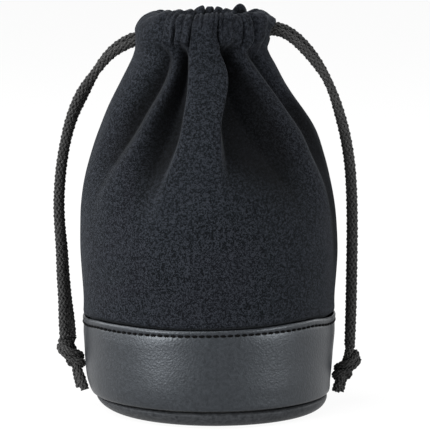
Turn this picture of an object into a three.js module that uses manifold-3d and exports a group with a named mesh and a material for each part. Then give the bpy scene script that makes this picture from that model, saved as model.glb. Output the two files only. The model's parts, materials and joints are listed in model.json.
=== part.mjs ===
// Drawstring lens pouch: a round soft pouch that stands on a padded base and closes at a gathered neck.
// Millimetres, +Z up. The origin is the centre of the base, on the surface that the pouch stands on.
// The pouch faces -Y, and its two drawcords leave the neck at -X and +X.

import * as THREE from "three";
import { mergeVertices } from "three/addons/utils/BufferGeometryUtils.js";
import Module from "manifold-3d";

const wasm = await Module();
wasm.setup();
const { clamp, degToRad, lerp, smoothstep } = THREE.MathUtils;

// Fits between neighbours
const layerGap = 0.4; // between the layers of the wall and the base
const seamGap = 0.3; // between two panels sewn edge to edge
const buttGap = 0.3; // between two stretches of one cord

// Base
const footRadius = 35; // flat underside of the base panel
const baseRadius = 41.5; // base panel at its seam with the band
const baseSeamHeight = 6; // that seam above the ground
const baseThickness = 1.4; // base panel leather
const rimThickness = 1.1; // base panel leather where it is turned in and sewn
const rimChamfer = 0.4; // rounding of the base panel's upper edge
const footRounding = 1.6; // how far inside the seam the base's underside starts to rise
const seamAllowance = 3; // leather turned inwards along the base seam
const boardThickness = 1.6;

// Band round the foot of the wall
const bandRadius = 45; // outside, at the top edge
const bandWaistRadius = 44; // outside, half way up
const bandTop = 35.5; // height of the top edge
const bandThickness = 1.3;
const bandSpring = 0.5; // how far inside its waist the band is near its foot
const seamStep = 0.2; // how far the band's foot stands back from the base panel's rim
const footTuck = 0.8; // how far the band's lower edge is drawn in along the seam

// Wall layers
const suedeThickness = 0.9;
const foamThickness = 2;
const foamDrop = 2; // how far the foam ends below the band's top edge
const liningThickness = 0.5;

// Outer sleeve, given by the outside of its folds
const sleeveStep = 0.6; // how far the sleeve stands back from the band's top edge
const sleeveTuck = 0.3; // the suede runs straight up to here below the band's top edge
const sleeveRise = 1.8; // and has come out from behind it here above the edge
const bellyRadius = 45.7;
const bellyHeight = 57;
const upperBellyRadius = 44.6;
const upperBellyDrop = 50.5; // below the stitch line
const shoulderRadius = 38.8;
const shoulderDrop = 27.5; // below the stitch line
const throatRadius = 29.5;
const throatDrop = 10;
const neckRadius = 23.4; // at the stitch line under the drawcord casing
const casingRadius = 24; // outside of the casing
const casingHeight = 15; // from the stitch line to the top
const casingRounding = 4; // the casing's walls bend over to its top from here down
const crownWidth = 2.4; // half way round that bend, in from the wall
const crownDrop = 0.9; // and down from the top
const hemRise = 0.3; // of the casing's hem above the stitch line
const hemSag = 0.4; // how much higher the casing's floor is in its middle
const pouchHeight = 142.5; // top of the casing
const neckLean = -3; // the neck sits to one side of the base
const leanFoot = 74; // height where the lean starts

// Folds that the drawn neck lays the sleeve in
const foldDepth = 9; // deepest fold
const foldReach = 60; // how far below the stitch line the folds start
const foldPeakDrop = 15.5; // and how far below it they have their full depth
const gatherDrop = 14; // from here up they are drawn together into the casing's pleats
const pleatDepth = 2.8; // of the pleats in the casing
const pleatDip = 0.9; // how far the top edge drops between pleats

// Ridges and valleys of the folds, from one side seam to the other. Each is a line down the cloth: its
// depth as a share of the deepest fold, 0 on a ridge, then its angle from the front at each of these heights.
const foldDrops = [foldReach, shoulderDrop, throatDrop, 0]; // below the stitch line
const frontFolds = [
  [0, -90, -90, -90, -90],
  [0, -80, -68, -57, -47],
  [0.42, -66, -50, -37, -30],
  [0, -57, -38, -27, -22.5],
  [0.9, -34, -25.5, -18, -14.5],
  [0, -23, -14, -10.5, -10],
  [0, 10, 8.5, 15, 15.5],
  [0.5, 19, 13, 18.5, 18.5],
  [1, 50, 31, 25.5, 21.5],
  [0, 68, 54.5, 49, 37],
  [0.4, 75, 63, 60, 50],
  [0, 83, 75, 72, 61],
  [0, 90, 90, 90, 90],
];
const backFolds = [
  [0, 90, 90, 90, 90],
  [0, 101, 105, 106, 102.5],
  [0.53, 110, 116, 119, 116.5],
  [0, 122, 127.5, 130, 127],
  [0.7, 153, 143, 138, 136],
  [0, 160, 151, 146, 143],
  [0, 182, 187, 185, 182],
  [0.8, 194, 193, 190, 187],
  [0, 219, 209, 205, 203],
  [0.6, 229, 218, 213, 211],
  [0, 243, 231, 226, 222],
  [0.43, 252, 244, 240, 236.5],
  [0, 263, 258.5, 255, 250.5],
  [0, 270, 270, 270, 270],
];

// Drawcords
const cordDiameter = 3.4;
const strandGap = 0.5; // between the two strands of a cord
const loopRise = 4.7; // lower loop above the stitch line
const exitSlotHeight = 8.2; // opening in the side seam where the strands come out
const exitSlotSlack = 0.8; // beside the strands
const exitSlotRounding = 2; // of the opening's ends
const knotHeight = 9.9;
const knotReach = 11.5; // height of the rounded form that the knot is cut from
const knotOffset = 1.1; // knot nearer the pouch than the strands above it
const endLength = 7; // cord below the knot
const endDrift = 1.4; // and how far it leans towards the pouch

const neckHeight = pouchHeight - casingHeight;
const cordRadius = cordDiameter / 2;
const strandPitch = cordDiameter + strandGap;
// Inside the casing the right cord's loop lies on top of the left one's.
const leftLoopHeight = neckHeight + loopRise;
const rightLoopHeight = leftLoopHeight + strandPitch;
// The loops lie inside the deepest pleats of the casing's outer wall.
const loopRadius = casingRadius - suedeThickness - pleatDepth - layerGap - cordRadius;
// The casing's inner wall lies inside the loops; this is its face at the mouth, at the top of a pleat.
const mouthRadius = loopRadius - cordRadius - layerGap - suedeThickness - pleatDepth;

// Facets
const roundSteps = 36;
const widestFoldStep = 15; // degrees between columns of the cloth
const sleeveSteps = 11; // rows of the suede between the band and the neck
const cordSides = 8;
const strandSteps = 18;
const loopSteps = 28;

// Finishes
const suede = { color: 0x23272d, roughness: 0.95, metalness: 0 };
const lining = { color: 0x1b1d20, roughness: 0.8, metalness: 0 };
const foam = { color: 0x3a3b3d, roughness: 1, metalness: 0 };
const cordYarn = { color: 0x1a1a1b, roughness: 0.85, metalness: 0 };
const bandLeather = { color: 0x45494f, roughness: 0.5, metalness: 0 };
const baseLeather = { color: 0x3b3d40, roughness: 0.4, metalness: 0 };
const board = { color: 0x2b2b2c, roughness: 0.7, metalness: 0 };

const pouch = new THREE.Group();

function addPiece(name, geometry, finish) {
  const mesh = new THREE.Mesh(geometry, new THREE.MeshStandardMaterial(finish));
  mesh.name = name;
  pouch.add(mesh);
}

// Solids for joining and cutting
function solidOf(geometry) {
  const bare = geometry.clone();
  for (const extra of ["normal", "uv"]) bare.deleteAttribute(extra);
  const merged = mergeVertices(bare, 1e-4);
  return new wasm.Manifold(
    new wasm.Mesh({
      numProp: 3,
      vertProperties: merged.attributes.position.array,
      triVerts: new Uint32Array(merged.index.array),
    }),
  );
}

function geometryOf(solid) {
  const { vertProperties, triVerts } = solid.getMesh();
  const geometry = new THREE.BufferGeometry();
  geometry.setAttribute("position", new THREE.BufferAttribute(vertProperties, 3));
  geometry.setIndex(new THREE.BufferAttribute(triVerts, 1));
  return geometry;
}

// The sideways lean of everything above the belly
const leanAt = (z) => neckLean * smoothstep(z, leanFoot, neckHeight);

// A turned piece: profile holds [radius, height] pairs, anticlockwise, and is closed by the last step.
function turned(profile, steps = roundSteps) {
  const points = profile.map(([radius, height]) => new THREE.Vector2(radius, height));
  const onAxis = profile[0][0] === 0 && profile.at(-1)[0] === 0;
  if (!onAxis) points.push(points[0].clone());
  return new THREE.LatheGeometry(points, steps).rotateX(Math.PI / 2);
}

const disc = (radius, low, high) => turned([[0, low], [radius, low], [radius, high], [0, high]]);

// Wall of the band: its outside as a curve from the base seam to the top edge
const bandFoot = baseSeamHeight + buttGap;
const bandCurve = new THREE.SplineCurve([
  new THREE.Vector2(baseRadius - seamStep, bandFoot),
  new THREE.Vector2(bandWaistRadius - bandSpring, bandFoot + (bandTop - bandFoot) * 0.22),
  new THREE.Vector2(bandWaistRadius, bandFoot + (bandTop - bandFoot) * 0.5),
  new THREE.Vector2(bandRadius, bandTop),
]);

// Outside of the band at a height, by bisection along the curve
function bandRadiusAt(height) {
  let low = 0;
  let high = 1;
  for (let i = 0; i < 30; i++) {
    const middle = (low + high) / 2;
    if (bandCurve.getPoint(middle).y < height) low = middle;
    else high = middle;
  }
  return bandCurve.getPoint(high).x;
}

const heights = (low, high, count) =>
  Array.from({ length: count }, (_, i) => lerp(low, high, i / (count - 1)));

// Depths of the layers behind the band's outside. The flats of a turned piece lie inside its corners.
const flatSag = bandRadius * (1 - Math.cos(Math.PI / roundSteps));
const suedeDepth = bandThickness + flatSag + layerGap;
const foamDepth = suedeDepth + suedeThickness + layerGap;
const liningDepth = foamDepth + foamThickness + layerGap;

// Base panel: a leather dish whose rim turns inwards along the seam
const allowanceInner = baseRadius - seamAllowance;
const wallFoot = bandFoot + bandThickness + layerGap;
const foamTop = bandTop - foamDrop;
const bandLow = bandFoot + bandThickness;
const bandHigh = bandTop - bandThickness / 2;
const bandMiddle = (bandLow + bandHigh) / 2;
// All the layers of the wall bend at the same heights, so that they stay apart.
const wallLevels = [wallFoot, bandMiddle, foamTop];
const boardLow = baseThickness + layerGap;
const padLow = boardLow + boardThickness + layerGap;
const padHigh = bandFoot + bandThickness;

function basePanel() {
  const rimRise = baseSeamHeight - rimThickness;
  const sweep = new THREE.CubicBezierCurve(
    new THREE.Vector2(footRadius, 0),
    new THREE.Vector2(baseRadius - footRounding, 0),
    new THREE.Vector2(baseRadius, rimRise * 0.35),
    new THREE.Vector2(baseRadius, rimRise),
  );
  const outside = sweep.getPoints(4).map((p) => [p.x, p.y]);
  const scale = (baseRadius - baseThickness) / baseRadius;
  const lift = (rimRise - baseThickness) / rimRise;
  const inside = outside
    .slice(0, -1)
    .map(([radius, height]) => [radius * scale, baseThickness + height * lift])
    .reverse();
  return turned([
    [0, 0],
    ...outside,
    [baseRadius - rimChamfer, baseSeamHeight],
    [allowanceInner, baseSeamHeight],
    [allowanceInner, rimRise],
    ...inside,
    [0, baseThickness],
  ]);
}

addPiece("base_panel", basePanel(), baseLeather);
const insideFlat = (footRadius * (baseRadius - baseThickness)) / baseRadius;
addPiece("base_board", disc(insideFlat, boardLow, boardLow + boardThickness), board);
addPiece("base_pad", disc(allowanceInner - layerGap, padLow, padHigh), foam);

// Leather band: an overlay whose top edge is rounded over and whose foot turns in along the base seam
function leatherBand() {
  const outside = heights(bandLow, bandHigh, 5).map((z) => [bandRadiusAt(z), z]);
  const inside = [bandHigh, bandMiddle, bandLow].map((z) => [bandRadiusAt(z) - bandThickness, z]);
  const crown = bandRadius - bandThickness / 2;
  return turned([
    [allowanceInner, bandFoot],
    [baseRadius - footTuck, bandFoot],
    ...outside,
    [crown + bandThickness * 0.3, bandTop],
    [crown - bandThickness * 0.3, bandTop],
    ...inside,
    [allowanceInner, bandLow],
  ]);
}

addPiece("leather_band", leatherBand(), bandLeather);

function bandFoam() {
  const outside = wallLevels.map((z) => [bandRadiusAt(z) - foamDepth, z]);
  const inside = outside.map(([radius, z]) => [radius - foamThickness, z]).reverse();
  return turned([...outside, ...inside]);
}

addPiece("band_foam", bandFoam(), foam);

// Sleeve above the band: its outside as a curve up to the stitch line
const sleeveFoot = bandTop + sleeveRise;
const sleeveCurve = new THREE.SplineCurve([
  new THREE.Vector2(bandRadius - sleeveStep, sleeveFoot),
  new THREE.Vector2(bellyRadius, bellyHeight),
  new THREE.Vector2(upperBellyRadius, neckHeight - upperBellyDrop),
  new THREE.Vector2(shoulderRadius, neckHeight - shoulderDrop),
  new THREE.Vector2(throatRadius, neckHeight - throatDrop),
  new THREE.Vector2(neckRadius, neckHeight),
]);
const sleevePoints = sleeveCurve.getSpacedPoints(sleeveSteps);

// A line of the folds. In the casing all valleys are as deep: crease is 1 on a valley and 0 on a ridge.
const foldLine = ([share, ...angles]) => ({ share, crease: Math.sign(share), angles });

// A line between two others: nearer to a ridge than to a valley, so that ridges are round and valleys sharp
function foldBetween(first, second, part) {
  const toValley = second.share > first.share ? part ** 2 : 1 - (1 - part) ** 2;
  return {
    share: lerp(first.share, second.share, toValley),
    crease: lerp(first.crease, second.crease, toValley),
    angles: first.angles.map((angle, i) => lerp(angle, second.angles[i], part)),
  };
}

// Columns of the cloth: the lines of the folds and as many between them as their distance needs
function foldColumns(lines, stepsDownFlank) {
  const columns = lines.slice(1).flatMap((second, i) => {
    const first = lines[i];
    const widest = Math.max(...second.angles.map((angle, level) => angle - first.angles[level]));
    const fewest = first.share * second.share === 0 ? stepsDownFlank : 1;
    const steps = Math.max(fewest, Math.ceil(widest / widestFoldStep));
    return Array.from({ length: steps }, (_, step) => foldBetween(first, second, step / steps));
  });
  return [...columns, lines.at(-1)];
}

// How far the cloth lies inside the sleeve's outside, from the belly up to the stitch line
function foldAt(column, z) {
  const fold = foldDepth * column.share * smoothstep(z, neckHeight - foldReach, neckHeight - foldPeakDrop);
  return lerp(fold, pleatDepth * column.crease, smoothstep(z, neckHeight - gatherDrop, neckHeight));
}

function foldAngle(column, z) {
  const drop = clamp(neckHeight - z, 0, foldDrops[0]);
  const below = Math.max(1, foldDrops.findIndex((level) => level <= drop));
  const part = (foldDrops[below - 1] - drop) / (foldDrops[below - 1] - foldDrops[below]);
  return degToRad(lerp(column.angles[below - 1], column.angles[below], part) - 90);
}

// A place on the cloth's path: move is how far a fold moves the cloth there, outwards positive, and dip
// how far it drops in a valley.
const foldedStop = (radius, z) => ({ radius, z, move: (column) => -foldAt(column, z), dip: 0 });
const straightStop = (radius, z) => ({ radius, z, move: () => 0, dip: 0 });

// The path of the suede from its foot behind the band, up the outside, over the top of the casing and
// down inside it to the stitch line
function suedePath() {
  const stops = [];
  const stop = (radius, z, share, dip = 0) => {
    const move = ({ crease }) => share * pleatDepth * crease;
    stops.push({ radius, z, move, dip });
  };
  const tucked = [...wallLevels, bandTop - sleeveTuck];
  for (const z of tucked) stops.push(straightStop(bandRadiusAt(z) - suedeDepth, z));
  for (const point of sleevePoints) stops.push(foldedStop(point.x, point.y));
  const middle = (casingRadius + mouthRadius) / 2;
  stop(casingRadius, leftLoopHeight, -1);
  stop(casingRadius, pouchHeight - casingRounding, -1, -pleatDip);
  stop(casingRadius - crownWidth, pouchHeight - crownDrop, -0.8, -pleatDip);
  stop(middle, pouchHeight, 0, -pleatDip);
  stop(mouthRadius + crownWidth, pouchHeight - crownDrop, 0.8, -pleatDip);
  stop(mouthRadius, pouchHeight - casingRounding, 1, -pleatDip);
  stop(mouthRadius, leftLoopHeight - cordRadius - suedeThickness, 1);
  stop(middle, neckHeight + hemRise + hemSag, 0);
  stop(neckRadius - suedeThickness - layerGap, neckHeight + hemRise, -1);
  return stops;
}

// Points down one column of the cloth
function columnPoints(column, stops) {
  return stops.map(({ radius, z, move, dip }) => {
    const angle = foldAngle(column, z);
    const reach = radius + move(column);
    const height = z + dip * column.crease;
    return new THREE.Vector3(reach * Math.cos(angle) + leanAt(height), reach * Math.sin(angle), height);
  });
}

// Two triangles between four corners, split along the shorter diagonal
function quad(places, a, b, c, d) {
  const first = places[a].distanceTo(places[c]);
  const second = places[b].distanceTo(places[d]);
  return first <= second ? [a, b, c, a, c, d] : [a, b, d, b, c, d];
}

// A sheet of cloth as one closed solid. It lies a depth behind the given columns of points and is as thick as
// given. A sheet that doesn't go all the way round ends flat at the side seams.
function cloth(columns, depth, thickness, wholeRound) {
  const rows = columns[0].length;
  const spans = wholeRound ? columns.length : columns.length - 1;
  const nextOf = (column) => (column + 1) % columns.length;
  const outside = columns.flat();
  const outsideFaces = [];
  for (let column = 0; column < spans; column++) {
    for (let row = 0; row < rows - 1; row++) {
      const [here, next] = [column * rows + row, nextOf(column) * rows + row];
      outsideFaces.push(...quad(outside, here, next, next + 1, here + 1));
    }
  }
  const sheet = new THREE.BufferGeometry().setFromPoints(outside);
  sheet.setIndex(outsideFaces);
  sheet.computeVertexNormals();
  const normals = sheet.attributes.normal;
  const behind = (column, row, distance) => {
    const normal = new THREE.Vector3().fromBufferAttribute(normals, column * rows + row);
    if (!wholeRound && (column === 0 || column === spans)) normal.setY(0).normalize();
    return columns[column][row].clone().addScaledVector(normal, -distance);
  };
  const places = columns.flatMap((points, column) => [
    ...points.map((_, row) => behind(column, row, depth)),
    ...points.map((_, row) => behind(column, row, depth + thickness)).reverse(),
  ]);
  const ring = rows * 2;
  const faces = [];
  for (let column = 0; column < spans; column++) {
    for (let i = 0; i < ring; i++) {
      const [here, next] = [column * ring, nextOf(column) * ring];
      const after = (i + 1) % ring;
      faces.push(...quad(places, here + i, next + i, next + after, here + after));
    }
  }
  const last = spans * ring;
  for (let i = 0; i < rows - 1 && !wholeRound; i++) {
    const [a, b, c, d] = [i, i + 1, ring - 2 - i, ring - 1 - i];
    faces.push(...quad(places, a, b, c, d), ...quad(places, last + d, last + c, last + b, last + a));
  }
  const solid = new THREE.BufferGeometry().setFromPoints(places);
  solid.setIndex(faces);
  return solid;
}

// Openings in the side seams, through the casing's outer wall, where the strands come out
const slotWidth = cordDiameter * 2 + strandGap + exitSlotSlack * 2;

function exitSlot(side, height) {
  const half = slotWidth / 2;
  const shape = new THREE.Shape();
  const straight = exitSlotHeight / 2 - exitSlotRounding;
  shape.moveTo(-half, -straight);
  shape.quadraticCurveTo(-half, -exitSlotHeight / 2, 0, -exitSlotHeight / 2);
  shape.quadraticCurveTo(half, -exitSlotHeight / 2, half, -straight);
  shape.lineTo(half, straight);
  shape.quadraticCurveTo(half, exitSlotHeight / 2, 0, exitSlotHeight / 2);
  shape.quadraticCurveTo(-half, exitSlotHeight / 2, -half, straight);
  const reach = casingRadius + cordDiameter - loopRadius;
  const slot = new THREE.ExtrudeGeometry(shape, { depth: reach, bevelEnabled: false, curveSegments: 3 });
  slot.rotateX(Math.PI / 2).rotateZ(Math.PI / 2);
  const start = side > 0 ? loopRadius : -loopRadius - reach;
  return solidOf(slot.translate(leanAt(height) + start, 0, height));
}

const slots = exitSlot(-1, leftLoopHeight).add(exitSlot(1, rightLoopHeight));
const frontLines = frontFolds.map(foldLine);
const backLines = backFolds.map(foldLine);
const stops = suedePath();
for (const [name, lines, shift] of [
  ["suede_front_panel", frontLines, -seamGap / 2],
  ["suede_back_panel", backLines, seamGap / 2],
]) {
  const columns = foldColumns(lines, 2).map((column) => columnPoints(column, stops));
  const panel = cloth(columns, 0, suedeThickness, false).translate(0, shift, 0);
  addPiece(name, geometryOf(solidOf(panel).subtract(slots)), suede);
}

// Lining: a floor and a sleeve that follow the inside of the pads and the folds
function liningSleeve() {
  const clearance = suedeThickness + layerGap * 3;
  const foot = wallLevels.map((z) => straightStop(bandRadiusAt(z) - liningDepth + clearance, z));
  const belly = foldedStop(bellyRadius, bellyHeight);
  const folded = sleevePoints.filter((point) => point.y > neckHeight - foldReach).slice(0, -1);
  const wall = folded.map((point) => foldedStop(point.x, point.y));
  const top = foldedStop(neckRadius, neckHeight - layerGap * 2);
  const columns = [frontLines, backLines].flatMap((lines) => foldColumns(lines, 1).slice(0, -1));
  const path = [...foot, belly, ...wall, top];
  return cloth(columns.map((column) => columnPoints(column, path)), clearance, liningThickness, true);
}

const floorRadius = bandRadiusAt(wallFoot) - liningDepth - liningThickness - layerGap;
addPiece("lining_base", disc(floorRadius, wallFoot, wallFoot + liningThickness), lining);
addPiece("lining_sleeve", liningSleeve(), lining);

// Cord: a round section along a smooth line of points
function cordAlong(points, steps) {
  const corner = (i) => (2 * Math.PI * i) / cordSides;
  const ring = Array.from({ length: cordSides }, (_, i) => [Math.cos(corner(i)), Math.sin(corner(i))]);
  const section = new THREE.Shape(ring.map(([x, y]) => new THREE.Vector2(x * cordRadius, y * cordRadius)));
  const line = new THREE.CatmullRomCurve3(points, false, "centripetal");
  return new THREE.ExtrudeGeometry(section, { steps, extrudePath: line, bevelEnabled: false });
}

// The middle of the pleat's wall at a side seam, where a strand turns on its way out
const exitReach = casingRadius - suedeThickness / 2;
const exitPoint = (side, height) => new THREE.Vector3(leanAt(height) + side * exitReach, 0, height);

// The stretch of a drawcord inside the casing: once round the neck, with both ends turned out to one slot
function cordLoop(side, height) {
  const centre = leanAt(height);
  const ends = strandPitch / 2;
  const tip = exitReach - cordRadius - buttGap;
  const out = (reach, y) => new THREE.Vector3(centre + side * reach, y, height);
  const first = Math.asin((ends + cordDiameter * 1.1) / loopRadius);
  const arc = heights(first, 2 * Math.PI - first, 25).map((angle) =>
    out(loopRadius * Math.cos(angle), loopRadius * Math.sin(angle)),
  );
  const start = [out(tip, ends), out(loopRadius, ends)];
  const end = [out(loopRadius, -ends), out(tip, -ends)];
  return cordAlong([...start, ...arc, ...end], loopSteps);
}

// Free stretch of each drawcord: the middle of its two strands, from the slot to the knot, as [x, z]
const leftRoute = [
  [-30.6, 130.4], [-34.8, 127.4], [-39.8, 121.4], [-45, 113], [-48.8, 104.4], [-51.1, 95.9],
  [-52.6, 87.2], [-53.4, 78.6], [-53.6, 72], [-53.3, 65], [-52.7, 57], [-52.3, 48.2],
  [-51.7, 39.6], [-51.1, 31], [-50.7, 25.2],
];
const rightRoute = [
  [25.4, 135.6], [29.8, 133.2], [34.6, 128.6], [38.2, 124], [41.2, 119.3], [44, 113.2],
  [46.4, 105.8], [48.4, 98], [50, 88.5], [50.8, 78], [51.1, 66], [51.1, 57],
  [51, 47.9], [50.9, 38.9], [50.7, 29.8], [50.5, 22.6],
];
const leftTwist = 0.7; // how far the pair has turned about itself at the knot, in radians
const rightTwist = 0;

// One strand of a pair, on the front or the back of the route; the pair turns about itself on the way down
function strandPoints(start, route, twist, face) {
  const middle = [start, ...route.map(([x, z]) => new THREE.Vector3(x, 0, z))];
  return middle.map((point, i) => {
    const turn = twist * (i / (middle.length - 1)) ** 2;
    const half = (face * strandPitch) / 2;
    return new THREE.Vector3(point.x + half * Math.sin(turn), half * Math.cos(turn), point.z);
  });
}

// Knot: the doubled cord wrapped once over itself, with its two ends coming out below
function knot() {
  const wrap = new THREE.TorusGeometry(cordRadius * 1.75, cordRadius * 0.95, cordSides, 12);
  const body = solidOf(new THREE.SphereGeometry(1, 10, 8).scale(cordDiameter, cordDiameter, knotReach / 2));
  const upper = solidOf(wrap.clone().rotateY(0.6).translate(0, 0, cordRadius * 0.9));
  const lower = solidOf(wrap.clone().rotateY(0.35).translate(0, 0, -cordRadius * 0.95));
  const reach = cordDiameter * 4;
  const slab = new THREE.BoxGeometry(reach, reach, knotHeight);
  return geometryOf(body.add(upper).add(lower).intersect(solidOf(slab)));
}

function drawcord(name, side, height, route, twist) {
  addPiece(`${name}_cord_loop`, cordLoop(side, height), cordYarn);
  const start = exitPoint(side, height);
  const [routeX, knotTop] = route.at(-1);
  const knotX = routeX - side * knotOffset;
  const knotHalf = knotHeight / 2;
  const knotMiddle = knotTop - buttGap - knotHalf;
  for (const [face, sign] of [["front", -1], ["back", 1]]) {
    const points = strandPoints(start, route, twist, sign);
    const cap = new THREE.SphereGeometry(cordRadius, cordSides, 6).translate(...points[0]);
    const strand = solidOf(cordAlong(points, strandSteps)).add(solidOf(cap));
    addPiece(`${name}_cord_${face}_strand`, geometryOf(strand), cordYarn);
    const top = points.at(-1).clone().setZ(knotMiddle - knotHalf - buttGap);
    top.x -= side * knotOffset * 2;
    const tip = top.clone().add(new THREE.Vector3(-side * endDrift, 0, -endLength));
    addPiece(`${name}_cord_${face}_end`, cordAlong([top, top.clone().lerp(tip, 0.5), tip], 3), cordYarn);
  }
  const turn = side > 0 ? 0 : Math.PI;
  addPiece(`${name}_knot`, knot().rotateZ(turn).translate(knotX, 0, knotMiddle), cordYarn);
}

drawcord("left", -1, leftLoopHeight, leftRoute, leftTwist);
drawcord("right", 1, rightLoopHeight, rightRoute, rightTwist);

export default pouch;
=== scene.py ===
# %% [markdown]
# # A drawstring lens pouch
#
# The pouch is a sleeve of black suede gathered at the neck by two drawcords. A leather band goes round its
# foot, and a padded leather base lets it stand up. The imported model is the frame: it fixes the size, the
# bodies and where each cord hangs. This lesson dresses that frame, piece by piece, in metres.

# %% Load the frame
import json
import math

import bpy
import numpy as np
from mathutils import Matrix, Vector


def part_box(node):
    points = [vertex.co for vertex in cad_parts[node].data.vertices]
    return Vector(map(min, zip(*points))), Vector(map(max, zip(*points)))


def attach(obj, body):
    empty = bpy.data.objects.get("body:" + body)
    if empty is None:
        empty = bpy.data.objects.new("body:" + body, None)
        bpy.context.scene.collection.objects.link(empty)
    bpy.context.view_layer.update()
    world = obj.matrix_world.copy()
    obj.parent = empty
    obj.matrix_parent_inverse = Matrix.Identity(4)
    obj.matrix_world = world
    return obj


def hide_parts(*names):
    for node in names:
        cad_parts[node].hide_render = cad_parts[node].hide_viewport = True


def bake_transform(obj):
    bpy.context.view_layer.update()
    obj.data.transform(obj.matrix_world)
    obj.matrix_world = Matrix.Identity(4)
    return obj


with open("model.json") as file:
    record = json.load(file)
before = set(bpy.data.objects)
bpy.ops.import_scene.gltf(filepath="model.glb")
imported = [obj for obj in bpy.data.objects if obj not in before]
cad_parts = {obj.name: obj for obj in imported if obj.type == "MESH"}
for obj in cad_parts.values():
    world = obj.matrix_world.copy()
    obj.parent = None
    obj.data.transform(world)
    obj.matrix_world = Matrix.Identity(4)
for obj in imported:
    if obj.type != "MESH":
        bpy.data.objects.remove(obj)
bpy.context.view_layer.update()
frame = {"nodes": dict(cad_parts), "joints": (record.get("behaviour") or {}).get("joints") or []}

MM = 0.001

# %% [markdown]
# ## Camera
#
# The photograph looks at the pouch from the front and a little above. The rings of the band and the base
# look flatter near the top than near the ground, so the lens is long but not endlessly far away. A distance
# of one metre gives both rings the bend they have in the picture.

# %% Camera
PHOTO_PIXELS = 430
PIXELS_PER_METRE = 2800  # at the middle of the pouch
VIEW_DISTANCE = 1.0
VIEW_HEIGHT = 0.199
AIM = Vector((0.0021, 0.0, 0.0695))  # what the middle of the picture looks at
SENSOR_WIDTH = 36  # millimetres


def into_scene(name, data):
    thing = bpy.data.objects.new(name, data)
    bpy.context.scene.collection.objects.link(thing)
    return thing


def point_at(thing, place, aim):
    """Puts a camera or a lamp in its place and points it."""
    thing.location = place
    thing.rotation_euler = (Vector(aim) - Vector(place)).to_track_quat("-Z", "Y").to_euler()


eye = Vector((AIM.x, -VIEW_DISTANCE, VIEW_HEIGHT))
camera_data = bpy.data.cameras.new("camera")
camera_data.sensor_width = SENSOR_WIDTH
camera_data.lens = SENSOR_WIDTH * PIXELS_PER_METRE * (AIM - eye).length / PHOTO_PIXELS
camera_data.clip_start = 0.01
camera = into_scene("camera", camera_data)
point_at(camera, eye, AIM)
bpy.context.scene.camera = camera
print("lens", round(camera_data.lens), "mm")

# %% [markdown]
# ## Finishes
#
# Every finish is a small node tree on Object coordinates or on the piece's own UV map, so it stays in place
# when the piece moves. A colour that changes over the surface goes through a ramp, and a value that is the
# same everywhere is set straight on the shader.

# %% Helpers for finishes
NOISE = "ShaderNodeTexNoise"


def set_values(node, values):
    """Sets sockets, or else properties, by name. In a socket's name an underscore stands for a space."""
    for name, value in values.items():
        socket = node.inputs.get(name.replace("_", " "))
        if socket is not None:
            socket.default_value = value
        else:
            setattr(node, name, value)


def shader(name, **values):
    """A new material and its Principled shader."""
    material = bpy.data.materials.new(name)
    material.use_nodes = True
    surface = material.node_tree.nodes["Principled BSDF"]
    set_values(surface, values)
    return material, surface


def add_node(material, kind, **values):
    node = material.node_tree.nodes.new(kind)
    set_values(node, values)
    return node


def link(material, source, target):
    material.node_tree.links.new(source, target)


def place(material, coordinates="Object"):
    """The coordinates that a pattern is drawn on."""
    return add_node(material, "ShaderNodeTexCoord").outputs[coordinates]


def pattern(material, kind, where, **values):
    """A texture node drawn on the given coordinates."""
    node = add_node(material, kind, **values)
    link(material, where, node.inputs["Vector"])
    return node


def ramp(material, source, *stops):
    """Colours along a value: each stop is (place, colour)."""
    node = add_node(material, "ShaderNodeValToRGB")
    elements = node.color_ramp.elements
    while len(elements) < len(stops):
        elements.new(0.5)
    for element, (where, colour) in zip(elements, stops):
        element.position = where
        element.color = (*colour, 1)
    link(material, source, node.inputs["Fac"])
    return node.outputs["Color"]


def add_bump(material, surface, source, strength, distance, below=None):
    node = add_node(material, "ShaderNodeBump", Strength=strength, Distance=distance)
    link(material, source, node.inputs["Height"])
    if below is not None:
        link(material, below, node.inputs["Normal"])
    link(material, node.outputs["Normal"], surface.inputs["Normal"])
    return node.outputs["Normal"]


def grey(value):
    return (value, value, value)


# %% Suede
def suede_finish():
    """Matt napped cloth: the nap lies in patches, so its black is mottled. Shade is painted into its colour
    in folds, at the band's lip and by the right seam.
    """
    material, surface = shader(
        "suede", Roughness=0.95, Specular_IOR_Level=0.04, Sheen_Weight=0.035, Sheen_Roughness=0.4,
        Sheen_Tint=(0.75, 0.82, 0.9, 1),
    )
    where = place(material)
    patches = pattern(material, NOISE, where, Scale=1100.0, Detail=3.0, Roughness=0.6)
    fibres = pattern(material, NOISE, where, Scale=2200.0, Detail=2.0, Roughness=0.7)
    both = add_node(material, "ShaderNodeMath", operation="MULTIPLY")
    link(material, patches.outputs["Fac"], both.inputs[0])
    link(material, fibres.outputs["Fac"], both.inputs[1])
    colour = ramp(
        material,
        both.outputs["Value"],
        (0.19, (0.0014, 0.0017, 0.0023)),
        (0.25, (0.0043, 0.0051, 0.0067)),
        (0.33, (0.0104, 0.0118, 0.0147)),
    )
    # painted shade: the colour is scaled down towards 0.22 where the mesh's point attribute marks folds, the
    # crevice at the lip and the strip by the right seam
    painted_shade = add_node(material, "ShaderNodeAttribute", attribute_name="painted_shade")
    shade = add_node(material, "ShaderNodeMapRange", To_Min=1.0, To_Max=0.22)
    link(material, painted_shade.outputs["Fac"], shade.inputs["Value"])
    shaded = add_node(material, "ShaderNodeVectorMath", operation="SCALE")
    link(material, colour, shaded.inputs["Vector"])
    link(material, shade.outputs["Result"], shaded.inputs["Scale"])
    link(material, shaded.outputs["Vector"], surface.inputs["Base Color"])
    add_bump(material, surface, fibres.outputs["Fac"], 0.35, 0.0003)
    return material


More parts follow.
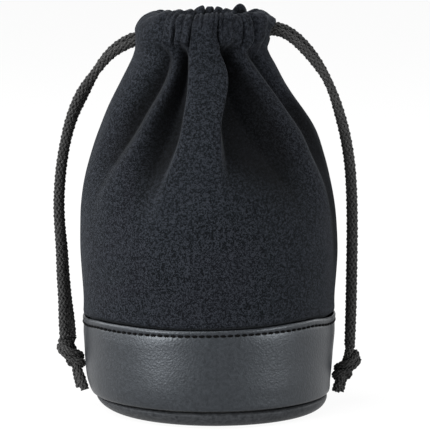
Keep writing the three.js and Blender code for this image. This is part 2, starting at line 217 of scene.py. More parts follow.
# %% Leather
def leather_finish(name, dark, light, roughness, specular):
    """Smooth synthetic leather with a fine pressed grain."""
    material, surface = shader(
        name, Roughness=roughness, Specular_IOR_Level=specular, Specular_Tint=(0.86, 0.93, 1, 1)
    )
    where = place(material)
    cells = pattern(material, "ShaderNodeTexVoronoi", where, Scale=1500.0, feature="SMOOTH_F1")
    cloud = pattern(material, NOISE, where, Scale=160.0, Detail=4.0, Roughness=0.6)
    speckle = pattern(material, NOISE, where, Scale=900.0, Detail=2.0, Roughness=0.6)
    colour = ramp(material, speckle.outputs["Fac"], (0.3, dark), (0.7, light))
    link(material, colour, surface.inputs["Base Color"])
    grain = add_bump(material, surface, cells.outputs["Distance"], 0.36, 0.00022)
    add_bump(material, surface, cloud.outputs["Fac"], 0.07, 0.0012, below=grain)
    return material


# %% Cord yarn, lining, foam, board and thread
def yarn_finish(name, dark, light, scale, specular=0.15, sheen=0.04):
    """Twisted yarn: a matt thread with lighter filaments."""
    material, surface = shader(name, Roughness=0.75, Specular_IOR_Level=specular, Sheen_Weight=sheen)
    filaments = pattern(material, NOISE, place(material), Scale=scale, Detail=2.0, Roughness=0.6)
    colour = ramp(material, filaments.outputs["Fac"], (0.35, dark), (0.7, light))
    link(material, colour, surface.inputs["Base Color"])
    add_bump(material, surface, filaments.outputs["Fac"], 0.3, 0.0002)
    return material


def woven_finish(name, dark, light, threads_per_metre):
    """Plain weave on the piece's UV map, which is laid out in metres."""
    material, surface = shader(name, Roughness=0.7, Specular_IOR_Level=0.3)
    where = place(material, "UV")
    weave = pattern(material, "ShaderNodeTexChecker", where, Scale=threads_per_metre)
    shade = pattern(material, NOISE, where, Scale=300.0, Detail=2.0)
    mixed = add_node(material, "ShaderNodeMath", operation="MULTIPLY_ADD")
    link(material, weave.outputs["Fac"], mixed.inputs[0])
    mixed.inputs[1].default_value = 0.35
    link(material, shade.outputs["Fac"], mixed.inputs[2])
    colour = ramp(material, mixed.outputs["Value"], (0.3, dark), (0.9, light))
    link(material, colour, surface.inputs["Base Color"])
    add_bump(material, surface, mixed.outputs["Value"], 0.2, 0.0002)
    return material


SUEDE = suede_finish()
BAND_LEATHER = leather_finish("band_leather", (0.0022, 0.0027, 0.0036), (0.009, 0.0103, 0.0124), 0.42, 0.36)
BASE_LEATHER = leather_finish("base_leather", (0.009, 0.0097, 0.0107), (0.025, 0.0263, 0.0284), 0.45, 0.06)
CORD_YARN = yarn_finish("cord_yarn", grey(0.008), grey(0.034), 2500.0, specular=0.06, sheen=0.02)
# the core is a real part of the cord, but its colour is painted almost black, darker than the yarns, as
# painted shade in the gaps between them
CORD_CORE = yarn_finish("cord_core", grey(0.0005), grey(0.002), 2500.0)
THREAD = yarn_finish("thread", grey(0.0004), grey(0.002), 3000.0, specular=0.03, sheen=0.0)
LINING = woven_finish("lining", (0.009, 0.0095, 0.011), (0.022, 0.023, 0.026), 2200.0)
FOAM = yarn_finish("foam", grey(0.02), grey(0.07), 900.0)
BOARD = yarn_finish("board", grey(0.015), grey(0.035), 500.0)
print("finishes:", ", ".join(material.name for material in bpy.data.materials if material.users == 0))

# %% [markdown]
# ## Mesh helpers
#
# Most pieces here are sheets of points in rows and columns. One helper lists the faces of such a grid, closed
# round the back where the grid goes all the way round. Another makes the mesh, with a UV map in metres for a
# finish that is woven.

# %% Grids to meshes
def add_object(name, mesh, material):
    mesh.materials.append(material)
    mesh.shade_smooth()
    return into_scene(name, mesh)


def grid_faces(rows, columns, closed_rows=False, closed_columns=False):
    """Quads of a grid of points, numbered row by row."""
    up = np.arange(rows if closed_rows else rows - 1)
    along = np.arange(columns if closed_columns else columns - 1)
    row, column = np.meshgrid(up, along, indexing="ij")
    next_row = (row + 1) % rows
    next_column = (column + 1) % columns
    corners = [row * columns + column, row * columns + next_column]
    corners += [next_row * columns + next_column, next_row * columns + column]
    return np.stack(corners, axis=-1).reshape(-1, 4)


def mesh_from(name, points, faces, uv=None):
    mesh = bpy.data.meshes.new(name)
    mesh.from_pydata(np.asarray(points).reshape(-1, 3).tolist(), [], [list(face) for face in faces])
    if uv is not None:
        flat = np.asarray(uv).reshape(-1, 2)
        corners = np.empty(len(mesh.loops), dtype=np.int32)
        mesh.loops.foreach_get("vertex_index", corners)
        mesh.uv_layers.new(name="cloth").data.foreach_set("uv", flat[corners].astype(np.float32).ravel())
    mesh.validate()
    return mesh


# %% Lines and curves
SAMPLES_BETWEEN = 24  # points worked out between two given ones


def distance_along(line):
    """How far along the line each of its points is."""
    return np.concatenate([[0], np.cumsum(np.linalg.norm(np.diff(line, axis=0), axis=1))])


def line_length(line):
    return float(distance_along(line)[-1])


def even_line(line, spacing):
    """The same line with its points at an even spacing."""
    along = distance_along(line)
    wanted = np.linspace(0, along[-1], max(2, round(along[-1] / spacing) + 1))
    return np.stack([np.interp(wanted, along, line[:, axis]) for axis in range(3)], axis=1)


def smooth_line(points, spacing):
    """A centripetal Catmull-Rom line through the points, resampled at an even spacing."""
    points = np.asarray(points, float)
    ends = [2 * points[0] - points[1], *points, 2 * points[-1] - points[-2]]
    line = []
    for a, b, c, d in zip(ends, ends[1:], ends[2:], ends[3:]):
        times = np.cumsum([0.0] + [math.sqrt(np.linalg.norm(q - p)) for p, q in ((a, b), (b, c), (c, d))])
        t = np.linspace(times[1], times[2], SAMPLES_BETWEEN, endpoint=False)[:, None]

        def between(p, q, i, j):
            return ((times[j] - t) * p + (t - times[i]) * q) / (times[j] - times[i])

        ab, bc, cd = between(a, b, 0, 1), between(b, c, 1, 2), between(c, d, 2, 3)
        abc = between(ab, bc, 0, 2)
        bcd = between(bc, cd, 1, 3)
        line.append(between(abc, bcd, 1, 2))
    return even_line(np.vstack([*line, points[-1:]]), spacing)


def unit(vectors):
    return vectors / np.linalg.norm(vectors, axis=1)[:, None]


def frames_along(line):
    """Two directions across the line at every point, carried along without twist."""
    tangents = unit(np.gradient(line, axis=0))
    across = np.cross(tangents[0], (0.0, 1.0, 0.0))
    if np.linalg.norm(across) < 0.1:
        across = np.cross(tangents[0], (1.0, 0.0, 0.0))
    sides = []
    for tangent in tangents:
        across = across - tangent * np.dot(across, tangent)
        across /= np.linalg.norm(across)
        sides.append(across)
    sides = np.array(sides)
    return sides, np.cross(tangents, sides)


def ease(value, low, high):
    """0 below low, 1 above high and a smooth rise between."""
    share = np.clip((value - low) / (high - low), 0, 1)
    return share * share * (3 - 2 * share)


def plateau(value, start, full, thin, end):
    """0 before start and after end, 1 from full to thin."""
    return ease(value, start, full) * (1 - ease(value, thin, end))


def turned(radius, angle, height, lean=0):
    """Points round the upright axis. The angle is counted from the front towards the right."""
    across = lean + radius * np.sin(angle)
    return np.stack(np.broadcast_arrays(across, -radius * np.cos(angle), height), axis=-1)


def bell(value, width):
    """1 at zero, falling off smoothly on both sides."""
    return np.exp(-((value / width) ** 2))


# %% [markdown]
# ## Drawcords
#
# A drawcord is a round braid: six yarns wind one way round the core, six wind the other way, and each goes
# over one and under the next. Each yarn is a flat tube on a helix whose radius swells and shrinks as it goes
# over and under. A bump map would give the look from afar, but here the outline of the cord is rough too, so
# the yarns are real.
#
# On each side two strands of one cord come out of an opening in the side seam. Their route is the one that
# the frame was built with, written here in metres as (x, z).

# %% Cord sizes and routes
CORD = 3.4 * MM
STRAND_PITCH = 3.9 * MM  # between the middles of the two strands
STRAND_TUCK = 1.8 * MM  # how far the strands reach into the tunnel
LINE_STEP = 0.3 * MM  # between the points of a strand's line
YARNS_EACH_WAY = 6
BRAID_LAY = 17 * MM  # length in which a yarn goes once round
YARN_WIDTH = 0.9 * MM
YARN_THICKNESS = 0.62 * MM
YARN_SWELL = 0.45  # a yarn rises and sinks by this share of its thickness
CORE_GAP = 0.15  # and the core stays this share of it below the middle of the yarns
CORE_SIDES = 10
YARN_SIDES = 6

joints = {joint["name"]: joint for joint in frame["joints"]}
LEFT_EXIT = Vector(joints["left_cord_swing"]["pos_m"])
RIGHT_EXIT = Vector(joints["right_cord_swing"]["pos_m"])

LEFT_ROUTE = [
    (-0.0306, 0.1304), (-0.0348, 0.1274), (-0.0398, 0.1214), (-0.045, 0.113), (-0.0488, 0.1044),
    (-0.0511, 0.0959), (-0.0526, 0.0872), (-0.0534, 0.0786), (-0.0536, 0.072), (-0.0533, 0.065),
    (-0.0527, 0.057), (-0.0523, 0.0482), (-0.0517, 0.0396), (-0.0511, 0.031), (-0.0507, 0.0252),
]
RIGHT_ROUTE = [
    (0.0254, 0.1356), (0.0298, 0.1332), (0.0346, 0.1286), (0.0382, 0.124), (0.0412, 0.1193), (0.044, 0.1132),
    (0.0464, 0.1058), (0.0484, 0.098), (0.05, 0.0885), (0.0508, 0.078), (0.0511, 0.066), (0.0511, 0.057),
    (0.051, 0.0479), (0.0509, 0.0389), (0.0507, 0.0298), (0.0505, 0.0226),
]
# How far a pair has turned about itself, as (height in millimetres, degrees): at 0 one strand hides the other
LEFT_TURNS = [
    (25, 46), (31, 42), (39, 26), (66, 10), (96, 10), (105, 17), (113, 24), (121, 0), (125, -5), (130, -24),
    (133, -30),
]
RIGHT_TURNS = [(22, -8), (35, -11), (104, -11), (120, 4), (127, 20), (136, 26)]


def strand_line(exit_point, route, turns, face):
    """One strand of a pair: face is -1 for the front strand and 1 for the back one."""
    inside = exit_point.x - math.copysign(STRAND_TUCK, exit_point.x)
    middle = np.array([(inside, exit_point.z), (exit_point.x, exit_point.z), *route])
    heading = unit(np.gradient(middle, axis=0))
    heights, degrees = np.array(turns, float).T
    turn = np.radians(np.interp(middle[:, 1], heights * MM, degrees))
    half = face * STRAND_PITCH / 2
    x = middle[:, 0] - heading[:, 1] * half * np.sin(turn)
    z = middle[:, 1] + heading[:, 0] * half * np.sin(turn)
    return smooth_line(np.stack([x, half * np.cos(turn), z], axis=1), LINE_STEP)


# %% Braid
def tube_points(line, half_width, across, half_height, up, sides):
    """Rings of points round a line, as wide and high as given at each point."""
    angles = np.linspace(0, 2 * math.pi, sides, endpoint=False) + math.pi / sides
    ring = np.cos(angles)[None, :, None] * (half_width[:, None] * across)[:, None, :]
    ring = ring + np.sin(angles)[None, :, None] * (half_height[:, None] * up)[:, None, :]
    return line[:, None, :] + ring


def capped_tube(rings):
    """Faces of one tube made of rings, with both ends closed."""
    count, sides = rings.shape[:2]
    faces = grid_faces(count, sides, closed_columns=True).tolist()
    faces.append(list(range(sides))[::-1])
    faces.append(list(range((count - 1) * sides, count * sides)))
    return faces


def braided_cord(line, diameter):
    """Rings of points along the core of a braid and then along each of its yarns."""
    thick = np.broadcast_to(diameter, len(line))
    scale = thick / CORD
    side, up = frames_along(line)
    along = distance_along(line)
    swell = YARN_SWELL * YARN_THICKNESS * scale
    middle_radius = thick / 2 - swell - 0.5 * YARN_THICKNESS * scale
    core_radius = middle_radius - CORE_GAP * YARN_THICKNESS
    tubes = [tube_points(line, core_radius, side, core_radius, up, CORE_SIDES)]
    over = np.cos(2 * math.pi * YARNS_EACH_WAY * along / BRAID_LAY)
    half_width = 0.5 * YARN_WIDTH * scale
    half_height = 0.5 * YARN_THICKNESS * scale
    for way in (1, -1):
        for yarn in range(YARNS_EACH_WAY):
            angle = way * 2 * math.pi * along / BRAID_LAY + 2 * math.pi * yarn / YARNS_EACH_WAY
            out = np.cos(angle)[:, None] * side + np.sin(angle)[:, None] * up
            path = line + out * (middle_radius + way * swell * over)[:, None]
            flat = unit(np.cross(out, unit(np.gradient(path, axis=0))))
            tubes.append(tube_points(path, half_width, flat, half_height, out, YARN_SIDES))
    return tubes


def add_cord(name, lines, diameters):
    """One piece made of one or more braided lines, each with its diameter."""
    points, faces, inner = [], [], []
    count = 0
    for line, diameter in zip(lines, diameters):
        for number, rings in enumerate(braided_cord(line, diameter)):
            tube_faces = capped_tube(rings)
            faces += [[count + corner for corner in face] for face in tube_faces]
            inner += [int(number == 0)] * len(tube_faces)
            points.append(rings.reshape(-1, 3))
            count += len(points[-1])
    mesh = mesh_from(name, np.vstack(points), faces)
    piece = add_object(name, mesh, CORD_YARN)
    # the core's faces take the nearly black finish: painted shade in the gaps between the yarns
    mesh.materials.append(CORD_CORE)
    mesh.polygons.foreach_set("material_index", inner)
    return piece


# %% [markdown]
# ## Knots
#
# Each pair of strands is tied in one overhand knot. A tight knot is hard to draw by hand, so it is tied: two
# rows of beads start as a loose knot, the cord grows to its thickness, and the ends are pulled until the
# beads touch all over. Beads keep their distance along the strand and push each other apart, which is all
# that a small cord simulation needs. Nothing in it is random, so it always gives the same knot.

# %% Tie a knot
KNOT_CORD = 2.55  # millimetres between strands pressed together in the knot
LOOSE_CORD = 0.9  # the same at the start
KNOT_STEPS = 1500
GROWING = 0.6  # the share of the steps in which the cord grows
SETTLING = 12  # rounds of settling in each step
PULL = 0.2  # millimetres that an end is pulled by in a step
STRETCHED = 1.03  # an end that is stretched as far as this isn't pulled on
END_BEADS = 12  # beads that this stretch is measured on
NEAR = 1.2  # millimetres beyond touching at which two beads are watched
NEIGHBOURS = 4  # beads this close along one strand don't push each other
PUSH = 0.25  # the share of an overlap that each bead gives way by in a round
STIFFNESS = 0.04


def loose_knot():
    """Beads about a millimetre apart on two strands side by side, in a wide overhand knot."""
    t = np.linspace(-2.2, 2.2, 4000)
    shape = [2.6 * (t**3 - 3 * t), 2.6 * (t**4 - 4 * t**2), 1.1 * (t**5 - 10 * t)]
    middle = even_line(np.stack(shape, axis=1), 1.0)
    across, _ = frames_along(middle)
    return np.stack([middle - 0.5 * across, middle + 0.5 * across])


def hold_spacing(beads, spacing):
    """Moves neighbours along each strand back to their distance, every other pair first."""
    for first in (0, 1):
        count = (beads.shape[1] - first) // 2
        left = beads[:, first : first + 2 * count : 2]
        right = beads[:, first + 1 : first + 1 + 2 * count : 2]
        gap = right - left
        move = 0.5 * gap * (1 - spacing / np.linalg.norm(gap, axis=2, keepdims=True))
        left += move
        right -= move


def push_apart(flat, first, second, distance):
    gap = flat[second] - flat[first]
    length = np.linalg.norm(gap, axis=1)
    close = length < distance
    push = (PUSH * (distance - length[close]) / length[close])[:, None] * gap[close]
    np.add.at(flat, first[close], -push)
    np.add.at(flat, second[close], push)


def tie_knot(lead_gap, low_pull):
    """Both strands of a tight knot: the ends are pulled up and along low_pull until the strands stretch."""
    beads = loose_knot()
    count = beads.shape[1]
    spacing = float(np.linalg.norm(np.diff(beads[0], axis=0), axis=1).mean())
    first, second = np.triu_indices(2 * count, 1)
    apart = (first // count != second // count) | (np.abs(first % count - second % count) > NEIGHBOURS)
    first, second = first[apart], second[apart]
    high, low = beads[:, -1].mean(axis=0), beads[:, 0].mean(axis=0)
    lead = np.array([[0, -lead_gap / 2, 0], [0, lead_gap / 2, 0]])
    flat = beads.reshape(-1, 3)
    for step in range(KNOT_STEPS):
        distance = np.interp(step, (0, GROWING * KNOT_STEPS), (LOOSE_CORD, KNOT_CORD))
        strain = np.linalg.norm(np.diff(beads, axis=1), axis=2) / spacing
        if strain[:, -END_BEADS:].mean() < STRETCHED:
            high = high + PULL * np.array((0, 0, 1))
        if strain[:, :END_BEADS].mean() < STRETCHED:
            low = low + PULL * np.array(low_pull)
        between = flat[second] - flat[first]
        near = np.einsum("ij,ij->i", between, between) < (distance + NEAR) ** 2
        for _ in range(SETTLING):
            hold_spacing(beads, spacing)
            bend = STIFFNESS * (0.5 * (beads[:, :-2] + beads[:, 2:]) - beads[:, 1:-1])
            beads[:, 1:-1] += bend
            beads[:, :-2] -= 0.5 * bend
            beads[:, 2:] -= 0.5 * bend
            push_apart(flat, first[near], second[near], distance)
            beads[:, -1] = high + lead
            beads[:, 0] = low + lead
    return beads[:, ::-1] * MM


knot_beads = tie_knot(lead_gap=3.9, low_pull=(-0.2, -0.1, -0.97))
print("knot:", knot_beads.shape[1], "beads a strand")

# %% Knots and strands
# How far from the pouch's axis the middle of a strand is when it lies against the band, as (height, distance)
KNOT_REST = [(5, 43.8), (9, 45), (14, 45.5), (22, 46), (26, 46.4)]
KNOT_SQUEEZE = 0.8  # the knots are pulled tight, which makes them narrower
KNOT_PRESS = 0.6 * MM  # and their strands are pressed thinner by this much
PRESS_START = 5 * MM  # in full from this length on
PRESS_END = (9 * MM, 4 * MM)  # until the first of these before the end, and not at all from the second
BEND_BEADS = 8  # a stretch of this many beads is bent
BEND_CHORD = 7.2 * MM  # when its ends are closer than this
TAIL_FROM = 20 * MM  # the tails are cut in what lies beyond this length
LEAD_FADE = 3 * MM  # the knot is drawn over to the ends of the strands in about this length


def placed_knot(end_points, turn, mirror, lead, tail_heights):
    """The tied strands, turned about the upright, brought to the ends of a pair and cut to their tails."""
    cosine, sine = math.cos(turn), math.sin(turn)
    beads = knot_beads @ np.array([[cosine, sine, 0], [-sine, cosine, 0], [0, 0, 1]])
    beads = beads * (-KNOT_SQUEEZE if mirror else KNOT_SQUEEZE, 1, 1)
    bends = np.linalg.norm(beads[:, BEND_BEADS:] - beads[:, :-BEND_BEADS], axis=2) < BEND_CHORD
    half = BEND_BEADS // 2
    top = beads[:, half:-half][bends][:, 2].max() + lead
    leads = np.array([strand[np.argmin(np.abs(strand[: len(strand) // 2, 2] - top))] for strand in beads])
    if np.dot(leads[1] - leads[0], end_points[1] - end_points[0]) < 0:
        beads, leads = beads[::-1], leads[::-1]
    moved = beads + (end_points.mean(axis=0) - leads.mean(axis=0))
    lines = []
    for strand, end, tail in zip(moved, end_points, tail_heights):
        line = smooth_line(strand, LINE_STEP)
        first = np.argmin(np.abs(line[: len(line) // 2, 2] - end[2]))
        line = line[first:]
        lower = np.arange(len(line)) * LINE_STEP > TAIL_FROM
        lines.append(line[~(lower & (line[:, 2] < tail))])
    push = beside_band(np.concatenate(lines))
    for index, end in enumerate(end_points):
        line = lines[index] + push
        fade = bell(np.arange(len(line)) * LINE_STEP, LEAD_FADE)
        lines[index] = line + (end - line[0]) * fade[:, None]
    return lines


def beside_band(points):
    """How far sideways a knot has to move to lie against the band."""
    side = np.sign(points[:, 0].mean())
    heights, distances = np.array(KNOT_REST).T * MM
    rest = np.interp(points[:, 2], heights, distances)
    needed = np.sqrt(np.maximum(rest**2 - points[:, 1] ** 2, 0)) - side * points[:, 0]
    return np.array([side * max(needed.max(), 0), 0, 0])


def knot_diameters(line):
    """Full thickness at the ends, pressed thinner inside the knot."""
    along = np.arange(len(line)) * LINE_STEP
    pressed = plateau(along, 0, PRESS_START, *(along[-1] - length for length in PRESS_END))
    return CORD - KNOT_PRESS * pressed


for side, exit_point, route, turns, turn, lead, tails in (
    ("left", LEFT_EXIT, LEFT_ROUTE, LEFT_TURNS, math.radians(202), 1.6 * MM, (6.6 * MM, 6.2 * MM)),
    ("right", RIGHT_EXIT, RIGHT_ROUTE, RIGHT_TURNS, math.radians(210), 3.7 * MM, (4.8 * MM, 4.8 * MM)),
):
    pair = [strand_line(exit_point, route, turns, sign) for sign in (-1, 1)]
    ends = np.array([line[-1] for line in pair])
    tied = placed_knot(ends, turn, side == "right", lead, tails)
    knot = add_cord(f"{side}_tied_knot", tied, [knot_diameters(line) for line in tied])
    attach(knot, f"{side}_cord")
    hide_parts(f"{side}_knot", f"{side}_cord_front_end", f"{side}_cord_back_end")
    for face, line in zip(("front", "back"), pair):
        piece = add_cord(f"{side}_{face}_strand", [line], [CORD])
        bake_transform(piece)
        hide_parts(f"{side}_cord_{face}_strand")
        print(piece.name, round(line_length(line) / MM, 1), "mm,", len(piece.data.polygons), "faces")
    lengths = [round(line_length(line) / MM) for line in tied]
    print(knot.name, lengths, "mm,", len(knot.data.polygons), "faces")

# %% [markdown]
# ## Suede sleeve
#
# The sleeve is two panels of suede sewn together at the sides. Each one goes up the wall, over the top and
# down again on the inside, which makes the tunnel that the cords run in. Drawn shut, the cloth lies in folds
# that are deep at the neck and run out towards the belly. A simulation would give folds of its own, so the
# folds that the picture shows are read off it: every ridge and valley is one line down the cloth.

# %% Shape of the sleeve from the side
SLEEVE_PATH = [  # radius, height and how far the middle is to the right, in millimetres
    (39.9, 8, 0), (41.5, 12, 0), (42.1, 18, 0), (42.3, 24, 0), (42.3, 30, 0), (42.3, 33, 0), (42.6, 34.8, 0),
    (42.9, 35.5, 0), (43.8, 35.95, 0), (44.7, 36.35, 0), (45, 37.1, 0), (44.95, 39.4, 0), (45, 42, 0),
    (45.5, 48, 0), (46, 57, 0), (45.8, 66, -0.2), (45.2, 74, -0.5), (43.8, 83, -0.65), (41.5, 92, -0.65),
    (38.8, 100, -0.8), (34.4, 109, -1.7), (29.5, 117.5, -2.2), (25.9, 124, -2.5), (24.3, 127, -2.8),
    (23.7, 129, -3), (23.9, 130.6, -3), (24.1, 132.5, -2.8), (24, 135.5, -2.1), (23.7, 138, -1.4),
    (22.9, 140.2, -0.6), (21.2, 141.7, -0.1), (19, 142.2, 0), (16.9, 141.6, -0.2), (15.3, 139.8, -0.8),
    (14.1, 137, -1.6), (13.3, 134, -2.4), (13.5, 131.4, -2.9), (15.6, 129.8, -3), (19, 129.3, -3),
    (21.6, 129.1, -3),
]
SLEEVE_STEP = 0.95 * MM  # between the rows of the cloth
STITCH_HEIGHT = 129 * MM  # the tunnel is sewn along here
SUEDE_THICKNESS = 0.8 * MM

sleeve_line = smooth_line(np.array(SLEEVE_PATH) * MM, SLEEVE_STEP)
wall_radius, wall_height, wall_lean = sleeve_line.T
wall_along = distance_along(sleeve_line[:, :2])
stitch_row = int(np.argmax(wall_height > STITCH_HEIGHT))
above_stitch = wall_along - wall_along[stitch_row]
rim_row = int(np.argmax(wall_height))
print("cloth from the foot to the hem:", round(wall_along[-1] / MM), "mm in", len(sleeve_line), "rows")

# %% Fold lines
FOLD_LEVELS = (66, 82, 94, 104, 114.5, 122, 129)  # heights that the folds are read at, where they end first
RIDGE = (0,) * len(FOLD_LEVELS)  # no depth at any level
# For each line: how soft it is from 0 to 1, its angle from the front at each level, its depth in millimetres
FRONT_FOLDS = [
    (1.0, (-90, -90, -90, -90, -90, -90, -90), (0, 0, 0.2, 0.4, 0.6, 0.7, 0.8)),
    (1.0, (-80, -78, -73, -66, -58, -50, -46), RIDGE),
    (0.4, (-66, -63, -55, -47, -38, -31, -30), (0.4, 1.8, 4.8, 7.2, 7.6, 6, 3.6)),
    (0.9, (-58, -54, -44, -37, -28, -23, -22.5), (0, 0, 0, 0, 0, 0.1, 0.4)),
    (0.4, (-34, -32, -28, -24.5, -18, -15.3, -13.5), (0.8, 3.2, 7, 10, 10.4, 8, 5)),
    (0.2, (-28, -25, -18.5, -15.2, -12.4, -12.4, -12), (0.4, 1.8, 4.6, 7, 7.4, 6, 4)),
    (0.3, (-24, -21, -16.5, -13.5, -10.4, -10.6, -10.2), RIDGE),
    (0.8, (-6, -5, -3, -2, 2, 4, 2), (0, -0.2, -0.4, -0.5, -0.5, -0.5, -0.3)),
    (0.15, (8, 7, 6.9, 7.8, 16, 23, 17.8), (0, 0, 0, 0, 0, 0, 0.2)),
    (0.15, (14, 12, 9.6, 9.1, 16.6, 21.6, 18.5), (0.3, 1.2, 4.4, 7.8, 8.8, 7.8, 4.4)),
    (0.4, (52, 46, 37, 29, 25.5, 27, 22.5), (0.8, 3.4, 8.2, 11.4, 11.6, 9, 5.2)),
    (0.9, (71, 68, 63, 59, 56, 48, 39), RIDGE),
    (0.2, (78, 75, 71, 68, 66, 58, 51), (0.2, 1.2, 2.8, 4.2, 4.6, 4.4, 3.4)),
    (0.7, (84, 83, 81, 78, 76, 70, 62), RIDGE),
    (1.0, (90, 90, 90, 90, 90, 90, 90), (0, 0, 0, -0.4, 1.2, 0.2, -0.4)),
]
BACK_FOLDS = [
    (1.0, (90, 90, 90, 90, 90, 90, 90), (0, 0, 0, -0.4, 1.2, 0.2, -0.4)),
    (0.5, (101, 102, 104, 106, 106, 104, 102), RIDGE),
    (0.4, (110, 112, 114, 117, 119, 118, 116), (0.3, 1.4, 3.4, 5.2, 6.2, 5.6, 4)),
    (0.2, (122, 124, 126, 128, 130, 129, 127), RIDGE),
    (0.3, (153, 150, 146, 142, 138, 137, 136), (0.7, 2.8, 6.2, 8.8, 9.6, 7.8, 5)),
    (0.05, (160, 158, 154, 150, 146, 144, 143), RIDGE),
    (0.8, (168, 168, 169, 170, 168, 167, 167), (0, -0.2, -0.4, -0.5, -0.5, -0.4, -0.3)),
    (0.1, (182, 184, 186, 187, 185, 183, 182), RIDGE),
    (0.3, (194, 193, 193, 193, 190, 188, 187), (0.6, 2.6, 5.8, 8.4, 9.2, 7.6, 5)),
    (0.3, (219, 216, 212, 208, 205, 204, 203), RIDGE),
    (0.4, (229, 226, 221, 217, 213, 212, 211), (0.4, 1.8, 4.2, 6.2, 7, 5.8, 4)),
    (0.2, (243, 240, 234, 230, 226, 224, 222), RIDGE),
    (0.4, (252, 250, 246, 243, 240, 238, 236), (0.3, 1.2, 2.8, 4.2, 5, 4.4, 3.4)),
    (0.6, (263, 262, 260, 258, 255, 252, 250), RIDGE),
    (1.0, (270, 270, 270, 270, 270, 270, 270), (0, 0, 0.2, 0.4, 0.6, 0.7, 0.8)),
]
STRIP_VALLEY = 12  # the front's last valley, counted from the left seam
# Creases of the tunnel: angle, depth just above the stitches and depth near the top, in millimetres
FRONT_CREASES = [
    (-90, 0.4, 0.4), (-64, 0.1, 0.1), (-35, 1.3, 0.9), (-29, 0.1, 0.6), (-24.5, 2.6, 1.6), (-17, 0.5, 1.1),
    (-9, 2.4, 1.5), (-3, 0, 0.5), (3, 0, 1), (11, 0, 0.6), (17, 0.2, 1.2), (22, 3, 2.2), (26.5, 0.5, 1.5),
    (33, 0, 0.6), (39, 2.2, 1.1), (44, 0.2, 1.2), (49, 2.4, 2.4), (68, 0.6, 0.5), (90, 0.4, 0.4),
]
BACK_CREASES = [
    (90, 0.4, 0.4), (104, 1.4, 1.2), (122, 2.2, 2), (139, 2.6, 2.6), (152, 2.8, 2.6), (164, 2.4, 2),
    (174, 1.8, 1.8), (185.5, 2, 2.2), (198, 2.4, 2), (209, 2, 1.2), (222, 2.6, 1.6), (236, 2.4, 1.2),
    (248, 1.8, 1), (259, 1.2, 0.6), (270, 0.4, 0.4),
]
# Stretches of the rim that stand higher or lower: angle, half width in degrees, rise in millimetres
RIM_LUMPS = [
    (-72, 14, -0.9), (-44, 16, 0.5), (-8, 9, -0.2), (7, 5, 0.5), (26, 6, -0.2), (78, 13, -1.3),
    (115, 8, 0.7), (131, 5, -0.4), (146, 6.5, 1.3), (157, 5, -1), (168, 5, -1), (186, 4, 0.8),
    (197, 5, -0.5), (210, 9, -0.8),
]
print(len(FRONT_FOLDS) + len(BACK_FOLDS), "fold lines,", len(FRONT_CREASES) + len(BACK_CREASES), "creases")

# %% Helpers for cloth
def soften(values, width, axis, ends="odd"):
    """A Gaussian blur along one axis. Odd ends stay where they are, even ends are free to level out."""
    reach = int(3 * width) + 1
    weights = np.exp(-0.5 * (np.arange(-reach, reach + 1) / width) ** 2)
    weights /= weights.sum()
    around = [(0, 0)] * values.ndim
    around[axis] = (reach, reach)
    padded = np.pad(values, around, mode="reflect", reflect_type=ends)
    return np.apply_along_axis(lambda line: np.convolve(line, weights, mode="valid"), axis, padded)


def dents(rows, columns, row_size, column_size, seed):
    """Seeded soft bumps with a spread of one."""
    noise = np.random.default_rng(seed).standard_normal((rows, columns))
    noise = soften(soften(noise, row_size, 0, "even"), column_size, 1, "even")
    return noise / noise.std()


# %% Folded cloth
PANEL_COLUMNS = 224
CRISP = 1.3  # columns that the sharpest folds are softened over
SLACK = 6.0  # and the softest ones
LEVEL_BLUR = 4.0  # rows that all of them are softened over
LEAST_REACH = 1.5  # millimetres added between two fold lines, so that a flat stretch gets columns too
FOLDS_FROM = 60 * MM  # the folds begin to show at this height
FOLDS_FULL = 76 * MM  # and are as deep as read from here on


def fold_columns(folds):
    """Where each column of the cloth lies among the fold lines: more columns where the cloth runs further."""
    angles = np.radians([fold[1] for fold in folds])
    depths = np.array([fold[2] for fold in folds])
    radius = np.interp(FOLD_LEVELS, wall_height[:stitch_row] / MM, wall_radius[:stitch_row] / MM)
    across = np.diff(angles, axis=0) * radius
    steps = np.hypot(across, np.diff(depths, axis=0)).mean(axis=1) + LEAST_REACH
    reach = np.concatenate([[0], np.cumsum(steps)])
    return np.interp(np.linspace(0, reach[-1], PANEL_COLUMNS), reach, np.arange(len(folds)))


def fold_surface(folds):
    """Angle and depth of every point of the cloth, by rows and columns, in radians and metres."""
    columns = fold_columns(folds)
    order = np.arange(len(folds))
    softness = np.interp(columns, order, [fold[0] for fold in folds])
    sheets = []
    for part, scale in ((1, math.radians(1)), (2, MM)):
        lines = zip(*(fold[part] for fold in folds))
        levels = np.array([np.interp(columns, order, line) for line in lines])
        crisp = soften(levels, CRISP, 1)
        slack = soften(levels, SLACK, 1)
        levels = (crisp + (slack - crisp) * softness) * scale
        heights = np.clip(wall_height / MM, FOLD_LEVELS[0], FOLD_LEVELS[-1])
        heights[stitch_row:] = FOLD_LEVELS[-1]
        rows = np.array([np.interp(heights, FOLD_LEVELS, line) for line in levels.T]).T
        sheets.append(soften(rows, LEVEL_BLUR, 0))
    angle, depth = sheets
    depth *= ease(wall_height, FOLDS_FROM, FOLDS_FULL)[:, None]
    return angle, depth


def crease_depth(angle, share, creases):
    """Depth below the tunnel's outline: each stretch of cloth between two creases is an arch."""
    where, low, high = np.array(creases, float).T
    degrees = np.degrees(angle)
    index = np.clip(np.searchsorted(where, degrees) - 1, 0, len(where) - 2)
    between = np.clip((degrees - where[index]) / (where[index + 1] - where[index]), 0, 1)
    near = index + (between > 0.5)
    return (low[near] + (high - low)[near] * share) * (2 * between - 1) ** 4 * MM


# %% Lip of the band
LIP_TILT = 0.7 * MM  # the band's top edge is lower on the left and higher on the right
LEFT_DIP = 0.9 * MM  # and dips at both side seams
RIGHT_DIP = 1.6 * MM
LIP_SAG = 0.5 * MM  # above the stitches it sags in the middle of the front


